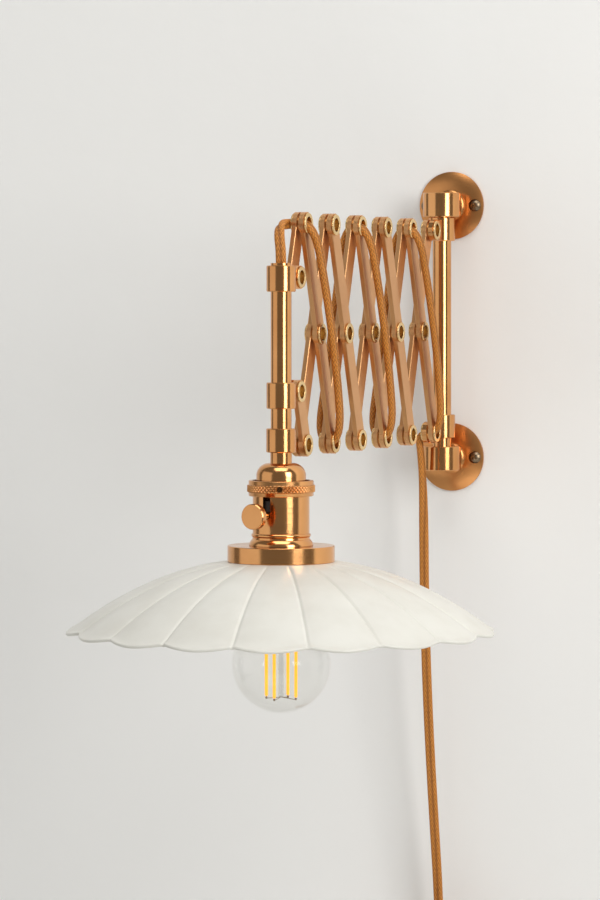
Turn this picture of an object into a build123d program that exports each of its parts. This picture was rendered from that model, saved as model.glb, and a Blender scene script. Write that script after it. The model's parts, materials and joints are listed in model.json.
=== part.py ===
from build123d import *
import os
from math import acos, cos, degrees, dist, pi, radians, sin, sqrt, tan

# Accordion wall lamp, in millimetres. The origin is on the wall, at the centre of the upper
# wall plate. +X runs right along the wall, -Y out from the wall and +Z up. The arm is square
# to the wall: its flat bars lie in two layers, the front one on the +X side.

# ---- fits ----
RUN = 0.06  # radial clearance of a turning or sliding fit
SEAT = 0.02  # radial clearance of a fixed fit
GAP = 0.3  # axial gap between pieces that turn past each other

# ---- wall plates, sockets and screws ----
PLATE_R = 23.2
PLATE_RIM = 1.4
PLATE_CROWN = 4.2
PLATE_BULGE = 0.5
BOSS_FOOT_R = 11.8
BOSS_R = 8.2
BOSS_FLARE = 3.2
WALL_GAP = 20.0  # rod axis from the wall
SOCKET_R = 12.95
SOCKET_H = 16.4
SOCKET_FLOOR = 3.6
STUB_R = 4.9
STUB_SHORT = 1.2  # the stub stops this far in front of the wall
SCREW_X = 17.6
SCREW_R = 2.0
SCREW_NECK_R = 2.55  # the plain neck inside the plate
SCREW_HOLE_R = 2.75
SCREW_HEAD_R = 4.1
SCREW_HEAD_H = 2.1
SCREW_SEAT = -2.3  # the plate is faced flat under each head at this distance from the wall
SCREW_IN_WALL = 22.0
SCREW_TIP = 4.0
RECESS_W = 0.9  # cross recess in the head
RECESS_LONG = 4.0
RECESS_DEEP = 1.0

# ---- rod, tube and collars ----
ROD_R = 6.35
TUBE_WALL = 1.0
COLLAR_R = 9.0
COLLAR_H = 16.0
EAR_REACH = 21.75  # rod axis to the pivot in the ear
GRUB_R = 1.5
EDGE = 0.5  # broken edge of turned pieces

# ---- scissor arm ----
CELLS = 5
BAR_HOLES = 144.2  # end hole to end hole
FOLD = 18.4  # bar angle from the vertical, degrees
FOLD_CLOSED = 14.9  # the same when the arm is pushed right in
STOP_GAP = 0.35  # room that is then left under the lower wall pivot
LINK_SHARE = 0.243  # hole distance of the short end links as a share of BAR_HOLES
BAR_T = 3.2
LAYER_GAP = 1.3
BAR_W = 11.8
BOSS_END_R = 7.2
BAR_EDGE = 0.35

# ---- hollow eyelets ----
EYE_BORE_R = 4.2
EYE_BARREL_R = 5.1
FLANGE_R = 6.6
FLANGE_T = 1.2
FLANGE_EDGE = 0.45
EYE_PLAY = 0.05

# ---- how far each collar's middle stands above its pivot ----
COLLAR_GAP = 0.4  # from the upper socket to the upper wall collar
RISE_WALL_TOP = 1.0
RISE_WALL_LOW = 3.5
RISE_LAMP_TOP = -1.0
RISE_LAMP_LOW = -2.0

# ---- lamp: coupling, nipple and socket ----
COUPLING_R = 9.15
COUPLING_H = 14.6
COUPLING_Z = -143.2  # top of the coupling
TUBE_IN_COUPLING = 7.0
NIPPLE_R = 6.6
NIPPLE_BORE_R = 5.2
CAP_TOP_Z = -164.3
CAP_R = 15.15
CAP_SHOULDER_R = 7.4
CAP_T = 0.9
RING_R = 19.85
KNURL_R = 20.4
RING_TOP_Z = -174.8
RING_H = 9.5
RING_BAND_TOP = 2.6
RING_BAND_LOW = 2.2
SHELL_R = 17.35
SHELL_T = 0.9
SHELL_FLARE_R = 19.6
SHELL_LOW_Z = -214.4
SET_HOLE_R = 1.4
SET_HOLE_AZIMUTH = 20.0
KNOB_AZIMUTH = -8.0
KNOB_Z = -195.4
KNOB_R = 7.75
KNOB_T = 4.6
KNOB_OUT = 29.6  # lamp axis to the knob's inner face
KNOB_HUB_R = 4.0
KNOB_HUB_T = 1.0
STEM_R = 2.25
STEM_IN = 9.5  # lamp axis to the stem's inner end
SLOT_W = 5.2
HOLDER_TOP_Z = -187.0
HOLDER_R = 15.4
HOLDER_THREAD_R = 17.3
HOLDER_BORE_R = 13.6
HOLDER_FLOOR_Z = -216.5
HOLDER_LOW_Z = -236.0

# ---- shade and what holds it ----
FITTER_R = 32.75
FITTER_H = 9.9
FITTER_T = 1.6
SHADE_T = 1.2
PETALS = 18
SHADE_FLAT_R = 32.75
SHADE_NOTCH_R = 125.2
SHADE_TIP_R = 130.0
SHADE_SLOPE = 0.15  # drop per millimetre past the flat
SHADE_DROP = 0.0032  # further drop per square millimetre
PETAL_BULGE = 2.0
NUT_R = 24.0
NUT_H = 4.0

# ---- bulb ----
BASE_R = 13.1
BASE_LOW_Z = -244.0
BASE_TOP_Z = -217.5
BASE_CONE = 3.6
BUTTON_R = 4.5
BUTTON_H = 1.2
THREAD_PITCH = 3.6
THREAD_DEPTH = 0.9
BULB_R = 30.3
BULB_Z = -286.6
GLASS_T = 0.8
NECK_R = 12.9
NECK_LEN = 5.0  # straight part of the neck below the base
SHOULDER_ANGLE = 38.0  # from the sphere's top to where the neck meets it, degrees
STEM_FOOT_R = 7.5
STEM_ROD_R = 1.5
FILAMENTS = 4
FILAMENT_R = 1.1
FILAMENT_TOP = (10.0, -271.0)  # radius and height of the upper ends
FILAMENT_LOW = (9.9, -307.0)
FILAMENT_AZIMUTH = -2.0
WIRE_R = 0.35

# ---- cord ----
CORD_R = 2.7
CORD_OUT = 8.4  # cord centre from the arm's mid plane, where it leaves an eyelet
CORD_FREE_OUT = 9.0  # the same for the free cord, behind the first and the last eyelet
CORD_BEND = 6.5  # bend radius where it leaves an eyelet
CORD_BOW = 1.0
CORD_LEAN = 4.2  # how far the cord lies to the wall side of a bar's middle
BUSHING_LIP = 0.9
BUSHING_LONG = 8.0
CORD_IN = 6.0  # the free cord starts this far down the tube
TUBE_TOP_LIP = 0.6
COIL_X = -2.8
COIL_Y = -61.5
COIL_Z = -526.0
COIL_INNER = 28.0
COIL_PITCH = 8.0
COIL_LAYER = 8.6  # between the two layers
COIL_IN = 4  # half turns that wind in, and one more out, after one that climbs
COIL_LEAD = 9.0
COIL_DROP = 32.0  # the cord hangs straight this far above the coil's middle
COIL_TAIL = 58.0
TIE_T = 1.2
TIE_H = 6.0
PLUG_W = 25.0
PLUG_D = 16.0
PLUG_BODY = 24.0
PLUG_NOSE = 22.0
PLUG_NOSE_R = 4.8
PLUG_EDGE = 3.0
BLADE_W = 6.3
BLADE_T = 1.5
BLADE_LONG = 17.0
BLADE_SPACING = 12.7

# ---- derived ----
ROD_Y = -WALL_GAP
TOP_Z = -(SOCKET_H / 2 + COLLAR_GAP + COLLAR_H / 2 + RISE_WALL_TOP)
PITCH = BAR_HOLES * sin(radians(FOLD))
RISE = BAR_HOLES * cos(radians(FOLD))
LINK = LINK_SHARE * BAR_HOLES
WALL_PIVOT_Y = ROD_Y - EAR_REACH
LAMP_PIVOT_Y = WALL_PIVOT_Y - (CELLS + LINK_SHARE) * PITCH
TUBE_Y = LAMP_PIVOT_Y - EAR_REACH
LAYER_IN = LAYER_GAP / 2
LAYER_OUT = LAYER_IN + BAR_T
EYE_OUT = LAYER_OUT + EYE_PLAY + FLANGE_T
FRONT, BACK = 1, -1
UPPER_LAMP_Z = TOP_Z - LINK_SHARE * RISE
LOWER_LAMP_Z = TOP_Z - RISE + LINK_SHARE * RISE
TUBE_TOP_Z = UPPER_LAMP_Z + RISE_LAMP_TOP + COLLAR_H / 2 + TUBE_TOP_LIP
TUBE_LOW_Z = COUPLING_Z - TUBE_IN_COUPLING
RING_LOW_Z = RING_TOP_Z - RING_H
FITTER_TOP_Z = SHELL_LOW_Z - 0.1
SHADE_TOP_Z = FITTER_TOP_Z - FITTER_H
RISE_CLOSED = BAR_HOLES * cos(radians(FOLD_CLOSED))
LOWER_SOCKET_Z = TOP_Z - RISE_CLOSED - BOSS_END_R - STOP_GAP - SOCKET_H / 2
NECK_Z = BASE_LOW_Z - NECK_LEN


def top_pivot(i):
    """Centre of pivot i of the upper row; 1 is next to the lamp and CELLS + 1 at the wall."""
    return (WALL_PIVOT_Y - (CELLS + 1 - i) * PITCH, TOP_Z)


def low_pivot(i):
    """Centre of pivot i of the lower row."""
    y, z = top_pivot(i)
    return (y, z - RISE)


def mid_pivot(i):
    """Centre of the crossing of cell i."""
    y, z = top_pivot(i)
    return (y + PITCH / 2, z - RISE / 2)


UPPER_LAMP_PIVOT = (LAMP_PIVOT_Y, UPPER_LAMP_Z)
LOWER_LAMP_PIVOT = (LAMP_PIVOT_Y, LOWER_LAMP_Z)


def rod_up(radius, low, high, y=0.0, x=0.0):
    """Upright cylinder between two heights."""
    return Pos(x, y, (low + high) / 2) * Cylinder(radius, high - low)


def rod_out(radius, near, far, x=0.0, z=0.0):
    """Cylinder along Y between two distances from the wall."""
    return Pos(x, (near + far) / 2, z) * Rot(90, 0, 0) * Cylinder(radius, abs(far - near))


def rod_across(radius, left, right, y, z):
    """Cylinder along X."""
    return Pos((left + right) / 2, y, z) * Rot(0, 90, 0) * Cylinder(radius, right - left)


def broken(piece, size=EDGE):
    """The piece with its circular outer end edges chamfered."""
    ends = piece.edges().filter_by(GeomType.CIRCLE)
    return chamfer(ends, size)


def turned(*lines):
    """Solid of revolution about the lamp's own axis, from lines in (radius, height)."""
    outline = Curve() + list(lines)
    return Pos(0, TUBE_Y, 0) * revolve(make_face(Plane.XZ * outline), Axis.Z)


def ring_profile(points):
    """Closed straight-sided outline through (radius, height) points."""
    return Polyline(*points, close=True)


def radial_plane(azimuth, z):
    """Plane at the lamp's axis whose normal points outward at an azimuth from -Y to +X."""
    a = radians(azimuth)
    return Plane(origin=(0, TUBE_Y, z), x_dir=(cos(a), sin(a), 0), z_dir=(sin(a), -cos(a), 0))


# ---------------------------------------------------------------- wall pieces
def wall_plate(z):
    """Domed round plate with a flared boss that is hollowed to seat the rod socket."""
    foot = -PLATE_CROWN
    flare = foot - BOSS_FLARE
    front = -(WALL_GAP - sqrt(SOCKET_R**2 - BOSS_R**2)) - 1.0
    rim_mid = ((PLATE_R + BOSS_FOOT_R) / 2, -(PLATE_RIM + PLATE_CROWN) / 2 - PLATE_BULGE)
    outline = Curve() + [
        Line((0, 0), (PLATE_R, 0)),
        Line((PLATE_R, 0), (PLATE_R, -PLATE_RIM)),
        ThreePointArc((PLATE_R, -PLATE_RIM), rim_mid, (BOSS_FOOT_R, foot)),
        ThreePointArc(
            (BOSS_FOOT_R, foot),
            (BOSS_R + 0.3 * (BOSS_FOOT_R - BOSS_R), foot - 0.3 * BOSS_FLARE),
            (BOSS_R, flare),
        ),
        Line((BOSS_R, flare), (BOSS_R, front)),
        Line((BOSS_R, front), (0, front)),
        Line((0, front), (0, 0)),
    ]
    plate = revolve(make_face(outline), Axis.Y)
    plate -= rod_up(SOCKET_R + SEAT, -PLATE_R, PLATE_R, ROD_Y)
    plate -= rod_out(STUB_R + SEAT, front, 1.0)
    for x in (-SCREW_X, SCREW_X):
        plate -= rod_out(SCREW_HOLE_R, -PLATE_CROWN - 2, 1.0, x)
        plate -= rod_out(SCREW_HEAD_R + SEAT, -PLATE_CROWN - 2, SCREW_SEAT, x)
    return Pos(0, 0, z) * plate


def rod_socket(z, mouth):
    """Round upright block with a blind bore for the rod and a stub into the plate."""
    half = SOCKET_H / 2
    block = broken(rod_up(SOCKET_R, z - half, z + half, ROD_Y))
    block += rod_out(STUB_R, -STUB_SHORT, ROD_Y, 0, z)
    floor = z - mouth * (half - SOCKET_FLOOR)
    open_end = z + mouth * (half + 1)
    return block - rod_up(ROD_R + RUN, min(floor, open_end), max(floor, open_end), ROD_Y)


def wall_screw(x, z):
    """Oval-head screw: crossed head on the plate's seat, plain neck, shank and a tip in the wall."""
    face = SCREW_SEAT
    cap_r = (SCREW_HEAD_R**2 + SCREW_HEAD_H**2) / (2 * SCREW_HEAD_H)
    head = Pos(x, face - SCREW_HEAD_H + cap_r, z) * Sphere(cap_r)
    head &= rod_out(SCREW_HEAD_R, face - SCREW_HEAD_H, face, x, z)
    recess = Box(RECESS_W, 2 * RECESS_DEEP, RECESS_LONG) + Box(RECESS_LONG, 2 * RECESS_DEEP, RECESS_W)
    head -= Pos(x, face - SCREW_HEAD_H, z) * Rot(0, 30, 0) * recess
    head += rod_out(SCREW_NECK_R, face, 0.0, x, z)
    shank_end = SCREW_IN_WALL - SCREW_TIP
    shank = rod_out(SCREW_R, 0.0, shank_end, x, z)
    tip = Pos(x, shank_end + SCREW_TIP / 2, z) * Rot(-90, 0, 0) * Cone(SCREW_R, 0.3, SCREW_TIP)
    return head + shank + tip


def wall_rod():
    """Upright rod between the two blind sockets, free to turn."""
    low = LOWER_SOCKET_Z - SOCKET_H / 2 + SOCKET_FLOOR + GAP
    high = SOCKET_H / 2 - SOCKET_FLOOR - GAP
    return broken(rod_up(ROD_R, low, high, ROD_Y))


def collar(axis_y, toward, pivot, rise, layer, clearance):
    """Ring on an upright rod with a flat ear, in one layer, that reaches to a pivot."""
    pivot_y, pivot_z = pivot
    middle = pivot_z + rise
    body = broken(rod_up(COLLAR_R, middle - COLLAR_H / 2, middle + COLLAR_H / 2, axis_y))
    low, high = sorted((layer * LAYER_IN, layer * LAYER_OUT))
    reach = abs(axis_y - pivot_y)
    ear = Pos((low + high) / 2, axis_y + toward * reach / 2, pivot_z) * Box(
        BAR_T, reach, 2 * BOSS_END_R
    )
    ear += rod_across(BOSS_END_R, low, high, pivot_y, pivot_z)
    hole = EYE_BARREL_R + (SEAT if layer == FRONT else RUN)
    body = body + ear - rod_across(hole, low - 1, high + 1, pivot_y, pivot_z)
    return body - rod_up(ROD_R + clearance, middle - 2 * COLLAR_H, middle + 2 * COLLAR_H, axis_y)


def grub_bore(axis_y, z):
    """Space of a grub screw that enters a fixed collar from the -X side."""
    return rod_across(GRUB_R + SEAT, -COLLAR_R - 1, -ROD_R, axis_y, z)


def grub_screw(axis_y, z):
    """Headless screw that fixes a collar to its rod."""
    return rod_across(GRUB_R, -COLLAR_R + EDGE, -ROD_R - SEAT, axis_y, z)


# ---------------------------------------------------------------- scissor arm
def bar(start, end, layer, with_middle=True):
    """Flat bar with a round boss at each hole, in the front or back layer."""
    run = dist(start, end)
    middle = ((start[0] + end[0]) / 2, (start[1] + end[1]) / 2)
    direction = ((end[0] - start[0]) / run, (end[1] - start[1]) / run)
    low = min(layer * LAYER_IN, layer * LAYER_OUT)
    plane = Plane(origin=(low, *middle), x_dir=(0, *direction), z_dir=(1, 0, 0))
    stations = [-run / 2, run / 2] + ([0.0] if with_middle else [])
    outline = Rectangle(run, BAR_W)
    for s in stations:
        outline += Pos(s, 0) * Circle(BOSS_END_R)
    flat = extrude(plane * outline, BAR_T)
    flat = chamfer(flat.edges().filter_by(Plane.YZ), BAR_EDGE)
    hole = EYE_BARREL_R + (SEAT if layer == FRONT else RUN)
    for s in stations:
        flat -= plane * Pos(s, 0, BAR_T / 2) * Cylinder(hole, 2 * BAR_T)
    return flat


def eyelet(pivot):
    """Hollow rivet through both layers with a rounded flange on each side."""
    y, z = pivot
    body = rod_across(EYE_BARREL_R, -EYE_OUT, EYE_OUT, y, z)
    for side in (FRONT, BACK):
        low, high = sorted((side * (EYE_OUT - FLANGE_T), side * EYE_OUT))
        flange = rod_across(FLANGE_R, low, high, y, z)
        body += fillet(flange.edges().filter_by(GeomType.CIRCLE), FLANGE_EDGE)
    body -= rod_across(EYE_BORE_R, -EYE_OUT - 1, EYE_OUT + 1, y, z)
    mouths = [e for e in body.edges().filter_by(GeomType.CIRCLE) if abs(e.radius - EYE_BORE_R) < 0.01]
    return fillet(mouths, FLANGE_EDGE)


# ---------------------------------------------------------------- lamp tube and socket
def lamp_tube():
    """Tube that carries the lamp and leads the cord down."""
    tube = rod_up(ROD_R, TUBE_LOW_Z, TUBE_TOP_Z, TUBE_Y)
    return tube - rod_up(ROD_R - TUBE_WALL, TUBE_LOW_Z - 1, TUBE_TOP_Z + 1, TUBE_Y)


def cord_bushing():
    """Thin sleeve with a lip that lines the tube's top where the cord leaves."""
    sleeve = rod_up(ROD_R - TUBE_WALL - SEAT, TUBE_TOP_Z - BUSHING_LONG, TUBE_TOP_Z + SEAT, TUBE_Y)
    sleeve += rod_up(ROD_R, TUBE_TOP_Z + SEAT, TUBE_TOP_Z + SEAT + BUSHING_LIP, TUBE_Y)
    return sleeve - rod_up(CORD_R + GAP, TUBE_TOP_Z - BUSHING_LONG - 1, TUBE_TOP_Z + 3, TUBE_Y)


def tube_coupling():
    """Round coupling that joins the tube to the socket's nipple."""
    low = COUPLING_Z - COUPLING_H
    body = broken(rod_up(COUPLING_R, low, COUPLING_Z, TUBE_Y))
    body -= rod_up(ROD_R + SEAT, TUBE_LOW_Z, COUPLING_Z + 1, TUBE_Y)
    return body - rod_up(NIPPLE_R + SEAT, low - 1, TUBE_LOW_Z, TUBE_Y)


def socket_nipple():
    """Short pipe from the coupling into the socket's cap."""
    low = CAP_TOP_Z - CAP_T - 3
    pipe = rod_up(NIPPLE_R, low, TUBE_LOW_Z - SEAT, TUBE_Y)
    return pipe - rod_up(NIPPLE_BORE_R, low - 1, TUBE_LOW_Z + 1, TUBE_Y)


def cap_outline(inset, low):
    """Half outline of the domed cap, shrunk by an inset, as lines in (radius, height)."""
    top = CAP_TOP_Z - inset
    shoulder = CAP_R - CAP_SHOULDER_R
    side = CAP_R - inset
    bend = shoulder - inset
    knee = sin(radians(45)) * bend
    return (top, side, bend, knee)


def socket_cap():
    """Thin domed cap of the socket."""
    low = RING_TOP_Z - 2.4
    hole = NIPPLE_R + SEAT
    top, side, bend, knee = cap_outline(0.0, low)
    top_in, side_in, bend_in, knee_in = cap_outline(CAP_T, low)
    return turned(
        Line((hole, top), (CAP_SHOULDER_R, top)),
        ThreePointArc(
            (CAP_SHOULDER_R, top),
            (CAP_SHOULDER_R + knee, top - bend + knee),
            (side, top - bend),
        ),
        Line((side, top - bend), (side, low)),
        Line((side, low), (side_in, low)),
        Line((side_in, low), (side_in, top_in - bend_in)),
        ThreePointArc(
            (side_in, top_in - bend_in),
            (CAP_SHOULDER_R + knee_in, top_in - bend_in + knee_in),
            (CAP_SHOULDER_R, top_in),
        ),
        Line((CAP_SHOULDER_R, top_in), (hole, top_in)),
        Line((hole, top_in), (hole, top)),
    )


def socket_ring():
    """Clamping ring with a raised middle band for the knurl and a small screw hole."""
    knurl_top = RING_TOP_Z - RING_BAND_TOP
    knurl_low = RING_LOW_Z + RING_BAND_LOW
    step = RING_TOP_Z - 3.0
    lip = CAP_R + SEAT
    bore = SHELL_R + SEAT
    ring = turned(
        ring_profile(
            [
                (lip, RING_TOP_Z),
                (RING_R, RING_TOP_Z),
                (RING_R, knurl_top),
                (KNURL_R, knurl_top - 0.3),
                (KNURL_R, knurl_low + 0.3),
                (RING_R, knurl_low),
                (RING_R, RING_LOW_Z),
                (bore, RING_LOW_Z),
                (bore, step),
                (lip, step),
            ]
        )
    )
    hole = radial_plane(SET_HOLE_AZIMUTH, (RING_TOP_Z + RING_LOW_Z) / 2)
    return ring - hole * Pos(0, 0, RING_R) * Cylinder(SET_HOLE_R, 2 * (RING_R - SHELL_R) + 1)


def socket_shell():
    """Thin shell with a beaded, flared foot and an upright slot for the switch stem."""
    top = RING_TOP_Z - 3.0 - SEAT
    low = SHELL_LOW_Z
    inner = SHELL_R - SHELL_T
    shell = turned(
        Line((inner, top), (SHELL_R, top)),
        Line((SHELL_R, top), (SHELL_R, low + 7.4)),
        ThreePointArc((SHELL_R, low + 7.4), (SHELL_R + 0.8, low + 6.2), (SHELL_R, low + 5.0)),
        Line((SHELL_R, low + 5.0), (SHELL_R + 0.3, low + 3.8)),
        ThreePointArc(
            (SHELL_R + 0.3, low + 3.8), (SHELL_R + 1.5, low + 2.4), (SHELL_FLARE_R, low + 0.8)
        ),
        Line((SHELL_FLARE_R, low + 0.8), (SHELL_FLARE_R, low)),
        Line((SHELL_FLARE_R, low), (SHELL_FLARE_R - SHELL_T, low)),
        ThreePointArc(
            (SHELL_FLARE_R - SHELL_T, low), (SHELL_R + 0.6, low + 1.8), (inner + 0.3, low + 3.8)
        ),
        Line((inner + 0.3, low + 3.8), (inner, low + 5.0)),
        Line((inner, low + 5.0), (inner, top)),
    )
    slot_h = top - KNOB_Z + 1
    slot = radial_plane(KNOB_AZIMUTH, KNOB_Z)
    shell -= slot * Pos(0, slot_h / 2, SHELL_R) * Box(SLOT_W, slot_h, 4 * SHELL_T + 2)
    return shell - slot * Pos(0, 0, SHELL_R) * Cylinder(SLOT_W / 2, 4 * SHELL_T + 2)


def lampholder():
    """Insulating body: a block that holds the switch, and a threaded cup for the bulb."""
    neck = SHELL_LOW_Z + 0.4
    body = turned(
        ring_profile(
            [
                (0, HOLDER_TOP_Z),
                (HOLDER_R, HOLDER_TOP_Z),
                (HOLDER_R, neck),
                (HOLDER_THREAD_R, neck),
                (HOLDER_THREAD_R, HOLDER_LOW_Z),
                (HOLDER_BORE_R, HOLDER_LOW_Z),
                (HOLDER_BORE_R, HOLDER_FLOOR_Z),
                (0, HOLDER_FLOOR_Z),
            ]
        )
    )
    stem_bore = radial_plane(KNOB_AZIMUTH, KNOB_Z)
    deep = HOLDER_R + 2 - STEM_IN
    return body - stem_bore * Pos(0, 0, STEM_IN - GAP + deep / 2) * Cylinder(STEM_R + RUN, deep)


def turn_knob():
    """Switch knob with its stem, turned about a level axis."""
    axis = radial_plane(KNOB_AZIMUTH, KNOB_Z)
    hub_in = KNOB_OUT - KNOB_HUB_T
    stem = Pos(0, 0, (STEM_IN + hub_in) / 2) * Cylinder(STEM_R, hub_in - STEM_IN)
    hub = Pos(0, 0, KNOB_OUT - KNOB_HUB_T / 2) * Cylinder(KNOB_HUB_R, KNOB_HUB_T)
    knob = broken(Pos(0, 0, KNOB_OUT + KNOB_T / 2) * Cylinder(KNOB_R, KNOB_T), EDGE)
    return axis * (stem + hub + knob)


# ---------------------------------------------------------------- shade
def shade_fitter():
    """Flat round cap over the shade's centre, open below."""
    top, low = FITTER_TOP_Z, SHADE_TOP_Z
    body = broken(rod_up(FITTER_R, low, top, TUBE_Y), 0.3)
    body -= rod_up(FITTER_R - FITTER_T, low - 1, top - FITTER_T, TUBE_Y)
    return body - rod_up(HOLDER_THREAD_R + 0.2, low - 1, top + 1, TUBE_Y)


def shade_drop(radius):
    """How far the shade has fallen below its flat at a radius."""
    past = max(radius - SHADE_FLAT_R, 0.0)
    return SHADE_SLOPE * past + SHADE_DROP * past**2


def petal_section(radius, share):
    """Closed section of one petal at a radius: an arched strip between two seam planes."""
    half = radius * tan(pi / PETALS)
    low = SHADE_TOP_Z - SHADE_T - shade_drop(radius)
    bulge = max(PETAL_BULGE * share, 0.15)
    outline = Curve() + [
        Line((-half, low), (-half, low + SHADE_T)),
        ThreePointArc((-half, low + SHADE_T), (0, low + SHADE_T + bulge), (half, low + SHADE_T)),
        Line((half, low + SHADE_T), (half, low)),
        ThreePointArc((half, low), (0, low + bulge), (-half, low)),
    ]
    return Plane(origin=(radius, 0, 0), x_dir=(0, 1, 0), z_dir=(1, 0, 0)) * make_face(outline)


def shade():
    """Open metal shade: a flat centre and a ring of arched petals with rounded tips."""
    outer = SHADE_TIP_R + 2
    steps = (0.0, 0.2, 0.42, 0.66, 0.85, 1.0)
    radii = [SHADE_FLAT_R + s * (outer - SHADE_FLAT_R) for s in steps]
    petal = loft([petal_section(r, s) for r, s in zip(radii, steps)])
    half = pi / PETALS
    notch = (SHADE_NOTCH_R * cos(half), SHADE_NOTCH_R * sin(half))
    tip = make_face(
        Curve()
        + [
            Line((0, 0), (notch[0], -notch[1])),
            ThreePointArc((notch[0], -notch[1]), (SHADE_TIP_R, 0), notch),
            Line(notch, (0, 0)),
        ]
    )
    petal &= Pos(0, 0, 2 * SHADE_TOP_Z) * extrude(tip, -2 * SHADE_TOP_Z)
    whole = Part() + [Rot(0, 0, 360 / PETALS * k) * petal for k in range(PETALS)]
    flat = rod_up(SHADE_FLAT_R + 1.5, SHADE_TOP_Z - SHADE_T, SHADE_TOP_Z)
    whole = whole + flat - rod_up(HOLDER_THREAD_R + 0.2, 2 * SHADE_TOP_Z, 0)
    return Pos(0, TUBE_Y, 0) * whole


def shade_nut():
    """Threaded ring that clamps the shade against its fitter from below."""
    top = SHADE_TOP_Z - SHADE_T
    ring = broken(rod_up(NUT_R, top - NUT_H, top, TUBE_Y))
    return ring - rod_up(HOLDER_THREAD_R + SEAT, top - NUT_H - 1, top + 1, TUBE_Y)


# ---------------------------------------------------------------- bulb
def bulb_solid(inset):
    """Filled outline of the bulb's glass, shrunk by an inset."""
    r = BULB_R - inset
    a = radians(SHOULDER_ANGLE)
    shoulder = (r * sin(a), BULB_Z + r * cos(a))
    neck = NECK_R - inset
    side = radians(105)
    return turned(
        Line((0, BASE_LOW_Z), (neck, BASE_LOW_Z)),
        Line((neck, BASE_LOW_Z), (neck, NECK_Z)),
        ThreePointArc(
            (neck, NECK_Z),
            (neck + 0.28 * (shoulder[0] - neck), (NECK_Z + shoulder[1]) / 2),
            shoulder,
        ),
        ThreePointArc(shoulder, (r * sin(side), BULB_Z + r * cos(side)), (0, BULB_Z - r)),
        Line((0, BULB_Z - r), (0, BASE_LOW_Z)),
    )


def bulb_glass():
    """Clear round bulb, hollow and open into its base."""
    return bulb_solid(0.0) - bulb_solid(GLASS_T)


def bulb_base():
    """Screw base with raised thread rings and a contact button."""
    outline = [
        (0, BASE_TOP_Z),
        (BUTTON_R, BASE_TOP_Z),
        (BUTTON_R, BASE_TOP_Z - BUTTON_H),
        (BASE_R - BASE_CONE, BASE_TOP_Z - BUTTON_H - BASE_CONE / 1.3),
    ]
    z = BASE_TOP_Z - BUTTON_H - BASE_CONE - THREAD_DEPTH
    while z > BASE_LOW_Z + 1.4 * THREAD_PITCH:
        outline += [
            (BASE_R - THREAD_DEPTH, z),
            (BASE_R, z - THREAD_PITCH / 3),
            (BASE_R - THREAD_DEPTH, z - 2 * THREAD_PITCH / 3),
        ]
        z -= THREAD_PITCH
    outline += [(BASE_R, z), (BASE_R, BASE_LOW_Z), (0, BASE_LOW_Z)]
    return turned(ring_profile(outline))


def filament_ends(k):
    """Upper and lower ends of filament k."""
    a = radians(360 / FILAMENTS * k + FILAMENT_AZIMUTH)
    return [
        (r * sin(a), TUBE_Y - r * cos(a), z) for r, z in (FILAMENT_TOP, FILAMENT_LOW)
    ]


def stick(start, end, radius):
    """Round stick between two points."""
    line = Line(start, end)
    return sweep(Plane(origin=start, z_dir=line % 0) * Circle(radius), path=line)


def bulb_stem():
    """Glass stem in the bulb with the wires that hold the filaments."""
    low = FILAMENT_LOW[1]
    top = BASE_LOW_Z - SEAT
    stem = turned(
        Line((0, top), (STEM_FOOT_R, top)),
        ThreePointArc((STEM_FOOT_R, top), (3.2, top - 7), (STEM_ROD_R, top - 17)),
        Line((STEM_ROD_R, top - 17), (STEM_ROD_R, low)),
        Line((STEM_ROD_R, low), (0, low)),
        Line((0, low), (0, top)),
    )
    for k in range(FILAMENTS):
        for x, y, z in filament_ends(k):
            stem += stick((0, TUBE_Y, z), (x, y, z), WIRE_R)
    return stem


def bulb_filaments(stem):
    """The sticks that glow, trimmed where their wires end."""
    sticks = [stick(*filament_ends(k), FILAMENT_R) for k in range(FILAMENTS)]
    return [s - stem for s in sticks]


# ---------------------------------------------------------------- cord
def corner_radii(points, tight):
    """Bend radius at each inner point: as large as its runs allow, or a stated tight one."""
    radii = []
    for i in range(1, len(points) - 1):
        before, here, after = (Vector(*p) for p in points[i - 1 : i + 2])
        turn = (here - before).get_angle(after - here)
        wide = 0.45 * min((here - before).length, (after - here).length) / tan(radians(turn) / 2)
        radii.append(tight.get(i, wide))
    return radii


def cord_tube(name, points, tight=None):
    """Round cord along straight runs joined by arcs; prints its bends, length and volume."""
    radii = corner_radii(points, tight or {})
    path = FilletPolyline(*points, radius=radii)
    tube = sweep(Plane(origin=points[0], z_dir=path % 0) * Circle(CORD_R), path=path)
    expected = pi * CORD_R**2 * path.length
    print(
        f"{name}: length {path.length:.1f}, radii {[round(r, 1) for r in radii]},"
        f" volume {tube.volume / expected:.4f} of section times length"
    )
    return tube


def cord_run(name, start, end, side):
    """Cord along one bar, from the mid plane at one eyelet to the mid plane at the next."""
    run = dist(start, end)
    across = (abs(end[1] - start[1]) / run, (end[0] - start[0]) / run)
    if end[1] > start[1]:
        across = (across[0], -across[1])
    points = [(0, *start), (side * CORD_OUT, *start)]
    for share, lean in ((0.3, 0.85), (0.68, 1.0)):
        y = start[0] + share * (end[0] - start[0]) + lean * CORD_LEAN * across[0]
        z = start[1] + share * (end[1] - start[1]) + lean * CORD_LEAN * across[1]
        points.append((side * (CORD_OUT + lean * CORD_BOW), y, z))
    points += [(side * CORD_OUT, *end), (0, *end)]
    return cord_tube(name, points, {1: CORD_BEND, 4: CORD_BEND})


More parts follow.
